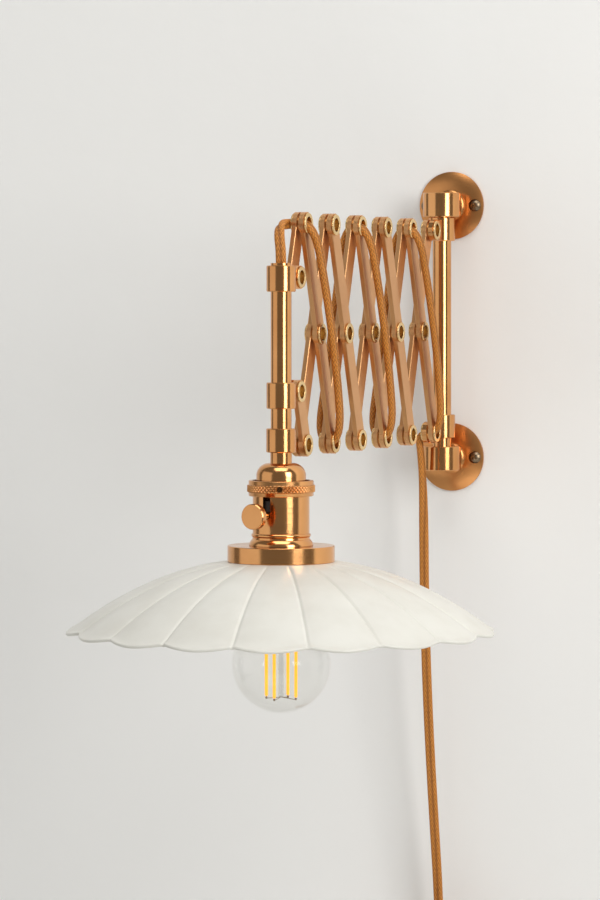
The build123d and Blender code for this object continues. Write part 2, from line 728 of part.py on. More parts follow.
def cord_loop():
    """Free cord from the top of the tube over to the back of the first eyelet."""
    eye_y, eye_z = top_pivot(1)
    points = [
        (0, TUBE_Y, TUBE_TOP_Z - CORD_IN),
        (0, TUBE_Y, TUBE_TOP_Z + 7),
        (-3.0, TUBE_Y + 4.0, TUBE_TOP_Z + 17.5),
        (-7.2, TUBE_Y + 15.0, TUBE_TOP_Z + 24.5),
        (-CORD_FREE_OUT, eye_y, eye_z),
        (0, eye_y, eye_z),
    ]
    return cord_tube("cord_loop", points, {4: CORD_BEND})


def cord_hanging():
    """Free cord from the back of the last eyelet down past the lower plate to the coil."""
    eye_y, eye_z = low_pivot(CELLS + 1)
    points = [
        (0, eye_y, eye_z),
        (-CORD_FREE_OUT, eye_y, eye_z),
        (-7.9, -39.6, -170.0),
        (-7.6, -36.4, -190.0),
        (-7.3, -35.6, -222.0),
        (-7.1, -35.3, -262.0),
        (-6.6, -33.0, -312.0),
        (-5.9, -29.0, -362.0),
        (-4.6, -24.6, -412.0),
        (-2.9, -20.4, -462.0),
        (COIL_X, COIL_Y + coil_radius(0), COIL_Z + COIL_DROP),
        (COIL_X, COIL_Y + coil_radius(0), COIL_Z + COIL_LEAD),
    ]
    return cord_tube("cord_hanging", points, {1: CORD_BEND})


def coil_radius(k):
    """Distance of the cord from the coil's middle after k half turns."""
    return COIL_INNER + COIL_PITCH / 2 * (abs(COIL_IN - k) if k <= COIL_IN else k - COIL_IN - 1)


def coil_point(k):
    """Where half turn k starts, on the line across the coil's middle."""
    side = 1 if k % 2 == 0 else -1
    layer = 0 if k <= COIL_IN else 1
    return Vector(COIL_X + layer * COIL_LAYER, COIL_Y + side * coil_radius(k), COIL_Z)


def cord_coil():
    """The rest of the cord, wound in two layers that spiral in and out again."""
    last = 2 * COIL_IN + 2
    start = coil_point(0)
    end = coil_point(last)
    edges = [Line(start + Vector(0, 0, COIL_LEAD), start)]
    for k in range(last):
        a, b = coil_point(k), coil_point(k + 1)
        down = -1 if k % 2 == 0 else 1
        middle = (a + b) / 2 + Vector(0, 0, down * (b - a).length / 2)
        edges.append(ThreePointArc(a, middle, b))
    edges.append(Line(end, end - Vector(0, 0, COIL_TAIL)))
    path = Wire(edges)
    tube = sweep(Plane(origin=path @ 0, z_dir=path % 0) * Circle(CORD_R), path=path)
    points = [path @ (n / 900) for n in range(901)]
    step = path.length / 900
    skip = int(6 * CORD_R / step) + 1
    least = min(
        (points[i] - points[j]).length for i in range(901) for j in range(i + skip, 901, 3)
    )
    expected = pi * CORD_R**2 * path.length
    print(
        f"cord_coil: length {path.length:.1f}, least gap to itself {least - 2 * CORD_R:.2f},"
        f" volume {tube.volume / expected:.4f} of section times length"
    )
    return tube


def coil_tie():
    """Flat band round all the turns, where the cord enters the coil."""
    last = 2 * COIL_IN + 2
    room = CORD_R + 0.6
    y_low = COIL_Y + COIL_INNER - room
    y_high = COIL_Y + coil_radius(last) + room
    x_low = COIL_X - room
    x_high = COIL_X + COIL_LAYER + room
    middle = Pos((x_low + x_high) / 2, (y_low + y_high) / 2, COIL_Z)
    outer = middle * Box(x_high - x_low + 2 * TIE_T, y_high - y_low + 2 * TIE_T, TIE_H)
    outer = fillet(outer.edges().filter_by(Axis.Z), 2 * TIE_T)
    inner = middle * Box(x_high - x_low, y_high - y_low, TIE_H + 2)
    return outer - fillet(inner.edges().filter_by(Axis.Z), TIE_T)


def plug_place():
    """Centre of the cord's end, where the plug begins."""
    return coil_point(2 * COIL_IN + 2) - Vector(0, 0, COIL_TAIL)


def plug_body():
    """Moulded plug: a tapered nose round the cord and a rounded body."""
    at = plug_place()
    nose = Pos(at.X, at.Y, at.Z - PLUG_NOSE / 2) * Cone(PLUG_W / 3, PLUG_NOSE_R, PLUG_NOSE)
    body = Pos(at.X, at.Y, at.Z - PLUG_NOSE - PLUG_BODY / 2) * Box(PLUG_W, PLUG_D, PLUG_BODY)
    body = fillet(body.edges().filter_by(Axis.Z), PLUG_EDGE)
    return body + nose


def plug_blades():
    """The plug's two flat blades."""
    at = plug_place()
    top = at.Z - PLUG_NOSE - PLUG_BODY
    return [
        Pos(at.X + side * BLADE_SPACING / 2, at.Y, top - BLADE_LONG / 2)
        * Box(BLADE_T, BLADE_W, BLADE_LONG)
        for side in (-1, 1)
    ]


def cord_in_tube():
    """Cord inside the tube, down to the switch block."""
    return rod_up(CORD_R, HOLDER_TOP_Z, TUBE_TOP_Z - CORD_IN, TUBE_Y)


# ---------------------------------------------------------------- all pieces
def make_parts():
    """Every piece by its node name."""
    parts = {
        "upper_wall_plate": wall_plate(0.0),
        "lower_wall_plate": wall_plate(LOWER_SOCKET_Z),
        "upper_rod_socket": rod_socket(0.0, -1),
        "lower_rod_socket": rod_socket(LOWER_SOCKET_Z, 1),
        "wall_screws": [
            wall_screw(x, z) for z in (0.0, LOWER_SOCKET_Z) for x in (-SCREW_X, SCREW_X)
        ],
        "wall_rod": wall_rod(),
    }
    wall_top, wall_low = top_pivot(CELLS + 1), low_pivot(CELLS + 1)
    wall_grub_z = TOP_Z + RISE_WALL_TOP
    lamp_grub_z = UPPER_LAMP_Z + RISE_LAMP_TOP
    upper_wall = collar(ROD_Y, -1, wall_top, RISE_WALL_TOP, FRONT, SEAT)
    parts["upper_wall_collar"] = upper_wall - grub_bore(ROD_Y, wall_grub_z)
    parts["wall_collar_screw"] = grub_screw(ROD_Y, wall_grub_z)
    parts["upper_wall_eyelet"] = eyelet(wall_top)
    parts["lower_wall_collar"] = collar(ROD_Y, -1, wall_low, RISE_WALL_LOW, BACK, RUN)
    for i in range(1, CELLS + 1):
        parts[f"bar_front_{i}"] = bar(top_pivot(i), low_pivot(i + 1), FRONT)
        parts[f"bar_back_{i}"] = bar(low_pivot(i), top_pivot(i + 1), BACK)
        pivots = (top_pivot(i), mid_pivot(i), low_pivot(i + 1))
        parts[f"eyelets_{i}"] = [eyelet(p) for p in pivots]
    parts["link_upper"] = bar(top_pivot(1), UPPER_LAMP_PIVOT, BACK, with_middle=False)
    parts["link_lower"] = bar(low_pivot(1), LOWER_LAMP_PIVOT, FRONT, with_middle=False)
    parts["eyelets_link"] = [eyelet(low_pivot(1)), eyelet(LOWER_LAMP_PIVOT)]

    upper_lamp = collar(TUBE_Y, 1, UPPER_LAMP_PIVOT, RISE_LAMP_TOP, FRONT, SEAT)
    parts["upper_lamp_collar"] = upper_lamp - grub_bore(TUBE_Y, lamp_grub_z)
    parts["lamp_collar_screw"] = grub_screw(TUBE_Y, lamp_grub_z)
    parts["upper_lamp_eyelet"] = eyelet(UPPER_LAMP_PIVOT)
    parts["lower_lamp_collar"] = collar(TUBE_Y, 1, LOWER_LAMP_PIVOT, RISE_LAMP_LOW, BACK, RUN)
    parts["lamp_tube"] = lamp_tube()
    parts["cord_bushing"] = cord_bushing()
    parts["tube_coupling"] = tube_coupling()
    parts["socket_nipple"] = socket_nipple()
    parts["socket_cap"] = socket_cap()
    parts["socket_ring"] = socket_ring()
    parts["socket_shell"] = socket_shell()
    parts["lampholder"] = lampholder()
    parts["turn_knob"] = turn_knob()
    parts["shade_fitter"] = shade_fitter()
    parts["shade"] = shade()
    parts["shade_nut"] = shade_nut()
    parts["bulb_glass"] = bulb_glass()
    parts["bulb_base"] = bulb_base()
    parts["bulb_stem"] = bulb_stem()
    parts["bulb_filaments"] = bulb_filaments(parts["bulb_stem"])

    parts["cord_in_tube"] = cord_in_tube()
    parts["cord_loop"] = cord_loop()
    stops = [top_pivot(1), low_pivot(2), top_pivot(3), low_pivot(4), top_pivot(5), low_pivot(6)]
    for n in range(CELLS):
        side = FRONT if n % 2 == 0 else BACK
        name = f"cord_run_{n + 1}"
        parts[name] = cord_run(name, stops[n], stops[n + 1], side)
    parts["cord_hanging"] = cord_hanging()
    parts["cord_coil"] = cord_coil()
    parts["coil_tie"] = coil_tie()
    parts["plug_body"] = plug_body()
    parts["plug_blades"] = plug_blades()
    return parts


def write_parts(parts):
    """One STEP file per node; a list becomes a group of separate solids."""
    os.makedirs("parts", exist_ok=True)
    for name, shape in parts.items():
        if isinstance(shape, list):
            solids = [solid for piece in shape for solid in piece.solids()]
            shape = Compound(children=solids)
        export_step(shape, f"parts/{name}.step")
    print(f"{len(parts)} nodes")


write_parts(make_parts())
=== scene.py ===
"""Accordion wall lamp: detail pieces, finishes, camera and light, in metres.

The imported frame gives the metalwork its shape. This file dresses it and adds what the eye needs
beyond it: the knurled ring, the petal shade, the clear bulb, the braided cord, the strap and the
plug. The origin is on the wall at the centre of the upper wall plate, -Y comes out of the wall
and +Z is up.
"""

from __future__ import annotations

import json
import logging
from dataclasses import dataclass, field
from enum import Enum
from math import cos, pi, radians, sin
from typing import Any, Callable, Mapping, Sequence, Union

import bmesh
import bpy
import numpy as np
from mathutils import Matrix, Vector

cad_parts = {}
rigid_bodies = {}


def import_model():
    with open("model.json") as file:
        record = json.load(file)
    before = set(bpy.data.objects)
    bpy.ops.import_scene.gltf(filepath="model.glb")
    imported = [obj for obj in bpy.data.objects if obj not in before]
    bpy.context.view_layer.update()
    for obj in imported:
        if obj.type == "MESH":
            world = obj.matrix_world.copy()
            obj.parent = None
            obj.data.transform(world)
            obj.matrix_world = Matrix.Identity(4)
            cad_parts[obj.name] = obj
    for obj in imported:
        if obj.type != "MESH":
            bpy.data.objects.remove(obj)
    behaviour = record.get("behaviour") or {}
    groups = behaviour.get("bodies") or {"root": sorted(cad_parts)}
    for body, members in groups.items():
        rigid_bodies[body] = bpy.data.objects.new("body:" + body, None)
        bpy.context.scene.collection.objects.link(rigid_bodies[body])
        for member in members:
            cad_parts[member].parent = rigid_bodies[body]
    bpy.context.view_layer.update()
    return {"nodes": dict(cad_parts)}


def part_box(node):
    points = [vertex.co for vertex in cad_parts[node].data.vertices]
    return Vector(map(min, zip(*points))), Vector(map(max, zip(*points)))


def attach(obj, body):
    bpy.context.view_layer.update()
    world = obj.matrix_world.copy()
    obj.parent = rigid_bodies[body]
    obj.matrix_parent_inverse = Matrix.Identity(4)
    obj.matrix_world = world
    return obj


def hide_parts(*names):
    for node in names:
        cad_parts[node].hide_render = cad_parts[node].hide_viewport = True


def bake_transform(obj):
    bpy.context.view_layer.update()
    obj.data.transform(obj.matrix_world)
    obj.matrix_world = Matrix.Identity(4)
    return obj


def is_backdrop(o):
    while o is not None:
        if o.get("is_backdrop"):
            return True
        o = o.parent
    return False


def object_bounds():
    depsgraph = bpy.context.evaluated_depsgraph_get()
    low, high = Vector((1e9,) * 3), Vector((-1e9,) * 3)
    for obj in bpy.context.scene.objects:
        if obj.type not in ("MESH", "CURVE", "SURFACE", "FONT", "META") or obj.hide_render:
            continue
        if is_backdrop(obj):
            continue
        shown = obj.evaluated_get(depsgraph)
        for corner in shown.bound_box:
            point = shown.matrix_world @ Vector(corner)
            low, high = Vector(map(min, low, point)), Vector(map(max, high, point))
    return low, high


LOG = logging.getLogger("wall_lamp")
MM = 0.001
Colour = tuple[float, float, float]
Point = tuple[float, float, float]
Pair = tuple[float, float]
Numbers = Union[np.ndarray, float]


# ------------------------------------------------------------------ shader maths
Value = Union["Sock", float, int, Sequence[float]]


def operator(operation: str, flipped: bool = False) -> Callable[["Sock", Value], "Sock"]:
    """A method that applies a Math operation to self and other, or to other and self."""

    def apply(self: "Sock", other: Value) -> "Sock":
        """The operation's result as a new output."""
        pair = (other, self) if flipped else (self, other)
        return self.net.node("ShaderNodeMath", {"operation": operation}, dict(enumerate(pair)))

    return apply


class Sock:
    """A shader output that Python's operators turn into Math nodes."""

    def __init__(self, net: "Net", source: bpy.types.NodeSocket | None) -> None:
        """Keeps the output and the net that new nodes go into."""
        self.net = net
        self.source = source

    def math(self, operation: str, *others: Value, clamp: bool = False) -> "Sock":
        """Applies one Math operation.

        Args:
            operation: the Math node's operation.
            others: the second and third operands.
            clamp: whether the result is held between 0 and 1.

        Returns:
            The result as a new output.
        """
        settings = {"operation": operation, "use_clamp": clamp}
        return self.net.node("ShaderNodeMath", settings, dict(enumerate((self, *others))))

    __add__, __radd__ = operator("ADD"), operator("ADD", flipped=True)
    __sub__, __rsub__ = operator("SUBTRACT"), operator("SUBTRACT", flipped=True)
    __mul__, __rmul__ = operator("MULTIPLY"), operator("MULTIPLY", flipped=True)
    __truediv__ = operator("DIVIDE")
    __pow__ = operator("POWER")
    __mod__ = operator("FLOORED_MODULO")

    def __abs__(self) -> "Sock":
        """Absolute value."""
        return self.math("ABSOLUTE")

    def floor(self) -> "Sock":
        """Whole part, rounded down."""
        return self.math("FLOOR")

    def sine(self) -> "Sock":
        """Sine of an angle in radians."""
        return self.math("SINE")

    def step(self, low: float, high: float) -> "Sock":
        """0 below low, 1 above high and smooth between them."""
        values = {"Value": self, "From Min": low, "From Max": high}
        return self.net.node("ShaderNodeMapRange", {"interpolation_type": "SMOOTHSTEP"}, values)


def opaque(value: Value) -> Value:
    """A colour of three numbers gets its alpha of 1; anything else stays as it is."""
    return (*value, 1.0) if isinstance(value, tuple) and len(value) == 3 else value


class Net:
    """The shader nodes of one material or world."""

    def __init__(self, owner: bpy.types.Material | bpy.types.World) -> None:
        """Empties the owner's node tree."""
        owner.use_nodes = True
        self.owner = owner
        self.tree = owner.node_tree
        self.tree.nodes.clear()

    def node(
        self,
        kind: str,
        settings: Mapping[str, Any] | None = None,
        values: Mapping[Any, Value] | None = None,
        out: Any = 0,
    ) -> Sock:
        """Adds a node of any type.

        Args:
            kind: the node's type name.
            settings: attributes, set before the sockets.
            values: a number, a colour or an output for each input, by name or place.
            out: the output that is wanted, by name or place.

        Returns:
            That output, or an empty one for a node that has none.
        """
        node = self.tree.nodes.new(kind)
        for key, value in (settings or {}).items():
            setattr(node, key, value)
        for key, value in (values or {}).items():
            if isinstance(value, Sock):
                self.tree.links.new(value.source, node.inputs[key])
            else:
                node.inputs[key].default_value = opaque(value)
        return Sock(self, node.outputs[out] if node.outputs else None)

    def point(self, kind: str = "Object") -> Sock:
        """The point on the piece in metres, or with "UV" its own surface coordinates."""
        return self.node("ShaderNodeTexCoord", out=kind)

    def split(self, vector: Sock) -> tuple[Sock, ...]:
        """The three parts of a vector."""
        parts = self.node("ShaderNodeSeparateXYZ", values={0: vector}).source.node.outputs
        return tuple(Sock(self, part) for part in parts)

    def join(self, x: Value, y: Value, z: Value) -> Sock:
        """Three values as one vector."""
        return self.node("ShaderNodeCombineXYZ", values={0: x, 1: y, 2: z})

    def noise(self, scale: float, detail: float, vector: Sock | None = None) -> Sock:
        """Noise from 0 to 1, at the point on the piece unless a vector is given."""
        values = {"Vector": vector or self.point(), "Scale": scale, "Detail": detail}
        return self.node("ShaderNodeTexNoise", None, values, "Fac")

    def mix(self, share: Value, low: Value, high: Value) -> Sock:
        """Colour between two colours."""
        return self.node("ShaderNodeMix", {"data_type": "RGBA"}, {0: share, 6: low, 7: high}, 2)

    def bump(self, height: Sock, depth: float, strength: float = 1.0) -> Sock:
        """Surface normal bent by a height from 0 to 1 that is depth metres deep."""
        values = {"Strength": strength, "Distance": depth, "Height": height}
        return self.node("ShaderNodeBump", None, values, "Normal")

    def shader(self, values: Mapping[str, Value]) -> Sock:
        """A Principled shader with these inputs, by name."""
        return self.node("ShaderNodeBsdfPrincipled", None, values)

    def blend(self, share: Value, first: Sock, second: Sock) -> Sock:
        """A shader between two shaders."""
        return self.node("ShaderNodeMixShader", None, {0: share, 1: first, 2: second})

    def close(self, shader: Sock, output: str = "ShaderNodeOutputMaterial") -> Any:
        """Sends a shader to the output.

        Args:
            shader: what the surface shows.
            output: the output node's type.

        Returns:
            The material or world.
        """
        self.node(output, None, {"Surface": shader})
        return self.owner


# ------------------------------------------------------------------ finishes
HAIR_ACROSS = 3600.0  # noise per metre across a brushed line
HAIR_ALONG = 60.0  # noise per metre along it
BLASTED = 900.0  # noise per metre on a piece with no direction
HAIR_DEPTH = 0.000022  # metres
HAIR_GLOSS = 0.16  # how much the lines change the roughness
CLOUDS = 34.0  # noise per metre of the soft patches
CLOUD_SHARE = 0.55  # how far the darkest patch goes to the tarnished colour
CLOUD_GLOSS = 0.10  # how much the patches change the roughness


class Grain(Enum):
    """Which way a piece was brushed."""

    ROUND_UPRIGHT = "around an upright axis"
    ROUND_WALL = "around an axis square to the wall"
    ALONG = "along a bar in the plane of the arm"
    NONE = "blasted, no direction"


@dataclass(frozen=True)
class Finish:
    """What a piece is finished in; each kind says what goes into its shader."""

    name: str

    def inputs(self, net: Net) -> dict[str, Value]:
        """The Principled shader's inputs, by name."""
        raise NotImplementedError

    def shader(self, net: Net) -> Sock:
        """What the surface shows."""
        return net.shader(self.inputs(net))

    def make(self) -> bpy.types.Material:
        """The finish's material."""
        net = Net(bpy.data.materials.new(self.name))
        return net.close(self.shader(net))


@dataclass(frozen=True)
class Metal(Finish):
    """A brushed or satin metal with slight clouds in its tone."""

    colour: Colour
    tarnish: Colour
    roughness: float
    grain: Grain = Grain.NONE
    centre_z: float = 0.0
    lean: float = 0.0
    brushing: float = 0.5

    def hairs(self, net: Net) -> Sock:
        """Fine lines that run the way the piece was brushed.

        Noise is stretched: about 15 mm along a line and a quarter of a millimetre across it. On
        a round piece, across is the height or the distance from the axis.

        Args:
            net: the material's nodes.

        Returns:
            The lines' height, from 0 to 1.
        """
        x, y, z = net.split(net.point())
        if self.grain is Grain.ROUND_UPRIGHT:
            vector = net.join(x * HAIR_ALONG, y * HAIR_ALONG, z * HAIR_ACROSS)
        elif self.grain is Grain.ROUND_WALL:
            height = z - self.centre_z
            radius = (x * x + height * height) ** 0.5
            vector = net.join(x * HAIR_ALONG, radius * HAIR_ACROSS, z * HAIR_ALONG)
        elif self.grain is Grain.ALONG:
            along = y * sin(self.lean) + z * cos(self.lean)
            across = y * cos(self.lean) - z * sin(self.lean)
            vector = net.join(x * HAIR_ACROSS, across * HAIR_ACROSS, along * HAIR_ALONG)
        else:
            vector = net.join(x * BLASTED, y * BLASTED, z * BLASTED)
        return net.noise(1.0, 2.0, vector)

    def clouds(self, net: Net) -> tuple[Sock, Sock]:
        """Soft patches: a value from 0 to 1, and the metal's colour there."""
        patches = net.noise(CLOUDS, 4.0)
        return patches, net.mix(patches.step(0.35, 0.75) * CLOUD_SHARE, self.colour, self.tarnish)

    def inputs(self, net: Net) -> dict[str, Value]:
        """Hairlines over soft clouds."""
        hairs = self.hairs(net)
        clouds, colour = self.clouds(net)
        lines = (hairs - 0.5) * (HAIR_GLOSS * self.brushing)
        return {
            "Base Color": colour,
            "Metallic": 1.0,
            "Roughness": self.roughness + lines + (clouds - 0.5) * CLOUD_GLOSS,
            "Normal": net.bump(hairs, HAIR_DEPTH * self.brushing),
        }


@dataclass(frozen=True)
class KnurledMetal(Metal):
    """The ring's metal, with painted shade in the bottoms of its knurling."""

    axis_y: float = 0.0
    band: Pair = (0.0, 0.0)
    bottom: float = 0.0
    top: float = 0.0
    # how dark the painted shade in the knurling is, as a share of the tarnish
    knurl_shade: float = 0.2
    edge: float = 0.0002

    def inputs(self, net: Net) -> dict[str, Value]:
        """The metal, darkened by how deep the point lies within the band: painted shade in the
        knurling.
        """
        x, y, z = net.split(net.point())
        out = y - self.axis_y
        raised = ((x * x + out * out) ** 0.5).step(self.bottom, self.top)
        low, high = self.band
        inside = z.step(low, low + self.edge) * (1 - z.step(high - self.edge, high))
        clouds, colour = self.clouds(net)
        # painted shade: a darkened copy of the tarnish fills the knurling's valleys
        dark = tuple(c * self.knurl_shade for c in self.tarnish)
        return {
            "Base Color": net.mix((1 - raised) * inside * 0.85, colour, dark),
            "Metallic": 1.0,
            "Roughness": self.roughness + inside * 0.08 + (clouds - 0.5) * CLOUD_GLOSS,
        }


@dataclass(frozen=True)
class Enamel(Finish):
    """Satin enamel with faint brush mottling and orange peel."""

    colour: Colour
    shadow: Colour
    mottling: float = 46.0
    peel: float = 620.0

    def inputs(self, net: Net) -> dict[str, Value]:
        """Mottled enamel over orange peel."""
        mottle = net.noise(self.mottling, 5.0)
        peel = net.noise(self.peel, 2.0)
        return {
            "Base Color": net.mix(mottle.step(0.3, 0.8), self.colour, self.shadow),
            "Roughness": 0.36 + (mottle - 0.5) * 0.2,
            "Coat Weight": 0.12,
            "Coat Roughness": 0.3,
            "Normal": net.bump(peel * 0.4 + mottle * 0.6, 0.00022, 0.6),
        }


@dataclass(frozen=True)
class Moulded(Finish):
    """Moulded plastic with a fine grain."""

    colour: Colour
    roughness: float
    grain: float = 1500.0
    clouds: float = 60.0

    def inputs(self, net: Net) -> dict[str, Value]:
        """Faint clouds and a fine grain."""
        grain = net.noise(self.grain, 2.0)
        light = tuple(min(1.0, c * 1.5 + 0.004) for c in self.colour)
        return {
            "Base Color": net.mix(net.noise(self.clouds, 3.0).step(0.3, 0.8), self.colour, light),
            "Roughness": self.roughness + (grain - 0.5) * 0.15,
            "Normal": net.bump(grain, 0.00004, 0.7),
        }


@dataclass(frozen=True)
class Braid(Finish):
    """Woven cover of the cord: two crossed sets of yarns that pass over and under each other."""

    light: Colour
    dark: Colour
    carriers: float = 10.0
    cell: float = 0.0034
    # how much painted shade darkens the valleys between the two cores
    core_valley_shade: float = 0.55
    roundness: float = 0.7
    yarn_depth: float = 0.0004

    def inputs(self, net: Net) -> dict[str, Value]:
        """The braid, from coordinates that run round the cord and along it in metres.

        Each set's place is carriers times the share round the cord, plus or minus the length
        over one cell. Its yarn is a rounded ridge, and which set is on top changes with the sum
        of the two whole parts. The colour is lighter on the ridges and darker between them, as
        painted shade in the weave, with random fibre and wear over it. The valleys between the
        two cores, a quarter of the way round, are darker too: painted shade.

        Args:
            net: the material's nodes.

        Returns:
            The shader's inputs, by name.
        """
        u, v, _ = net.split(net.point("UV"))
        run = v / self.cell
        first = u * self.carriers + run
        second = u * self.carriers - run
        over = (first.floor() + second.floor()) % 2.0
        ridges = [abs((place * pi).sine()) ** self.roundness for place in (first, second)]
        height = ridges[0] * over + ridges[1] * (1 - over)
        fibre = net.noise(2600.0, 2.0)
        worn = net.noise(70.0, 3.0)
        # painted shade: the yarns' grooves darker than their ridges, mixed with fibre and wear
        tone = (height * 0.85 + fibre * 0.35 + (worn - 0.5) * 0.3).math("ADD", 0.0, clamp=True)
        # painted shade in the valleys between the two cores
        tone = tone * (1 - abs((u * (2 * pi)).sine()) ** 14.0 * self.core_valley_shade)
        return {
            "Base Color": net.mix(tone, self.dark, self.light),
            "Roughness": 0.62 + (fibre - 0.5) * 0.2,
            "Sheen Weight": 0.04,
            "Sheen Roughness": 0.4,
            "Sheen Tint": self.light,
            "Normal": net.bump(height * 0.8 + fibre * 0.2, self.yarn_depth, 0.9),
        }


@dataclass(frozen=True)
class Hide(Finish):
    """Plain leather with pores and creases."""

    light: Colour
    dark: Colour
    pores: float = 900.0
    wear: float = 90.0

    def inputs(self, net: Net) -> dict[str, Value]:
        """Worn patches and pores."""
        values = {"Vector": net.point(), "Scale": self.pores}
        pores = net.node("ShaderNodeTexVoronoi", None, values, "Distance")
        wear = net.noise(self.wear, 4.0)
        return {
            "Base Color": net.mix(wear.step(0.3, 0.8), self.dark, self.light),
            "Roughness": 0.5 + (wear - 0.5) * 0.3,
            "Normal": net.bump(pores, 0.0002, 0.6),
        }


@dataclass(frozen=True)
class ClearGlass(Finish):
    """Thin clear glass: clear ahead, mirror-like only close to its outline."""

    tint: Colour = (0.985, 0.985, 0.98)
    edge: float = 0.5
    ahead: float = 0.01

    def shader(self, net: Net) -> Sock:
        """See-through shader mixed with a gloss that grows towards the outline."""
        clear = net.node("ShaderNodeBsdfTransparent", None, {"Color": self.tint})
        gloss = {"Color": (1.0, 1.0, 1.0), "Roughness": 0.02}
        slant = net.node("ShaderNodeLayerWeight", None, {"Blend": 0.5}, "Facing")
        share = (slant**3.0 * self.edge).math("ADD", self.ahead, clamp=True)
        return net.blend(share, clear, net.node("ShaderNodeBsdfGlossy", None, gloss))


@dataclass(frozen=True)
class Glow(Finish):
    """Coated stick that gives light."""

    colour: Colour
    strength: float
    speckle: float = 900.0

    def inputs(self, net: Net) -> dict[str, Value]:
        """The glowing coat, a little uneven along its length."""
        hot = tuple(min(1.0, c * 1.15 + 0.02) for c in self.colour)
        coat = net.mix(net.noise(self.speckle, 2.0), self.colour, hot)
        return {
            "Base Color": coat,
            "Roughness": 0.5,
            "Emission Color": coat,
            "Emission Strength": self.strength,
        }


COPPER = ((0.77, 0.385, 0.15), (0.60, 0.26, 0.088))
PLATE_COPPER = ((0.68, 0.31, 0.11), (0.54, 0.22, 0.07))
BAR_COPPER = ((0.73, 0.40, 0.18), (0.59, 0.29, 0.12))
TURNED_COPPER = Metal("copper_turned", *COPPER, 0.15, Grain.ROUND_UPRIGHT, brushing=0.6)
SHEET_COPPER = Metal("copper_sheet", *COPPER, 0.16, Grain.ROUND_UPRIGHT, brushing=0.8)
YELLOW_BRASS = Metal("yellow_brass", (0.86, 0.62, 0.30), (0.60, 0.38, 0.15), 0.24, brushing=0.4)
DARK_STEEL = Metal("browned_steel", (0.30, 0.22, 0.14), (0.12, 0.085, 0.055), 0.34, brushing=0.4)
BLADE_METAL = Metal("blade_brass", (0.88, 0.68, 0.36), (0.72, 0.5, 0.24), 0.2)
STICK_CAP = Metal("stick_cap", (0.35, 0.27, 0.18), (0.2, 0.14, 0.09), 0.3)
WHITE_ENAMEL = Enamel("white_enamel", (0.76, 0.75, 0.69), (0.71, 0.695, 0.63))
BLACK_PLASTIC = Moulded("black_plastic", (0.012, 0.011, 0.010), 0.5)
GOLD_BRAID = Braid("gold_braid", (0.66, 0.245, 0.03), (0.12, 0.03, 0.003))
BROWN_LEATHER = Hide("brown_leather", (0.13, 0.055, 0.025), (0.05, 0.02, 0.01))
CLEAR_GLASS = ClearGlass("clear_glass")
STEM_GLASS = ClearGlass("stem_glass", (0.9, 0.9, 0.89), 1.1)
AMBER_GLOW = Glow("amber_glow", (0.84, 0.42, 0.025), 0.85)


# ------------------------------------------------------------------ surfaces
def unit(vectors: np.ndarray) -> np.ndarray:
    """Vectors divided by their lengths."""
    return vectors / np.maximum(np.linalg.norm(vectors, axis=-1, keepdims=True), 1e-12)


def length_along(path: np.ndarray) -> np.ndarray:
    """Distance of each point of a path from its start."""
    return np.concatenate([[0], np.cumsum(np.linalg.norm(np.diff(path, axis=0), axis=1))])


def rounded(t: np.ndarray, power: Numbers) -> tuple[np.ndarray, np.ndarray]:
    """Cosine and sine of t with their sizes to a power: an oval that is squarer below 1."""
    c, s = np.cos(t), np.sin(t)
    return np.sign(c) * np.abs(c) ** power, np.sign(s) * np.abs(s) ** power


def round_axis(radius: Numbers, angle: Numbers, height: Numbers, axis_y: float) -> np.ndarray:
    """Points (radius sin angle, axis_y - radius cos angle, height)."""
    radius, height = radius + 0 * angle, height + 0 * angle
    return np.stack([radius * np.sin(angle), axis_y - radius * np.cos(angle), height], axis=-1)


def around(columns: int) -> np.ndarray:
    """Angles that go once round in even steps."""
    return np.linspace(0, 2 * pi, columns, endpoint=False)


def between(at: np.ndarray, keys: np.ndarray, rows: np.ndarray) -> np.ndarray:
    """Rows interpolated from those at the keys, one for each place."""
    return np.stack([np.interp(at, keys, column) for column in rows.T], axis=1)


def smooth(mesh: bpy.types.Mesh) -> None:
    """Shades every face of a mesh smooth."""
    mesh.polygons.foreach_set("use_smooth", np.ones(len(mesh.polygons), dtype=bool))


def place_in_scene(name: str, data: bpy.types.ID) -> bpy.types.Object:
    """A new object of that name in the scene."""
    thing = bpy.data.objects.new(name, data)
    bpy.context.scene.collection.objects.link(thing)
    return thing


WELD = 1e-7  # grid points closer than this are one


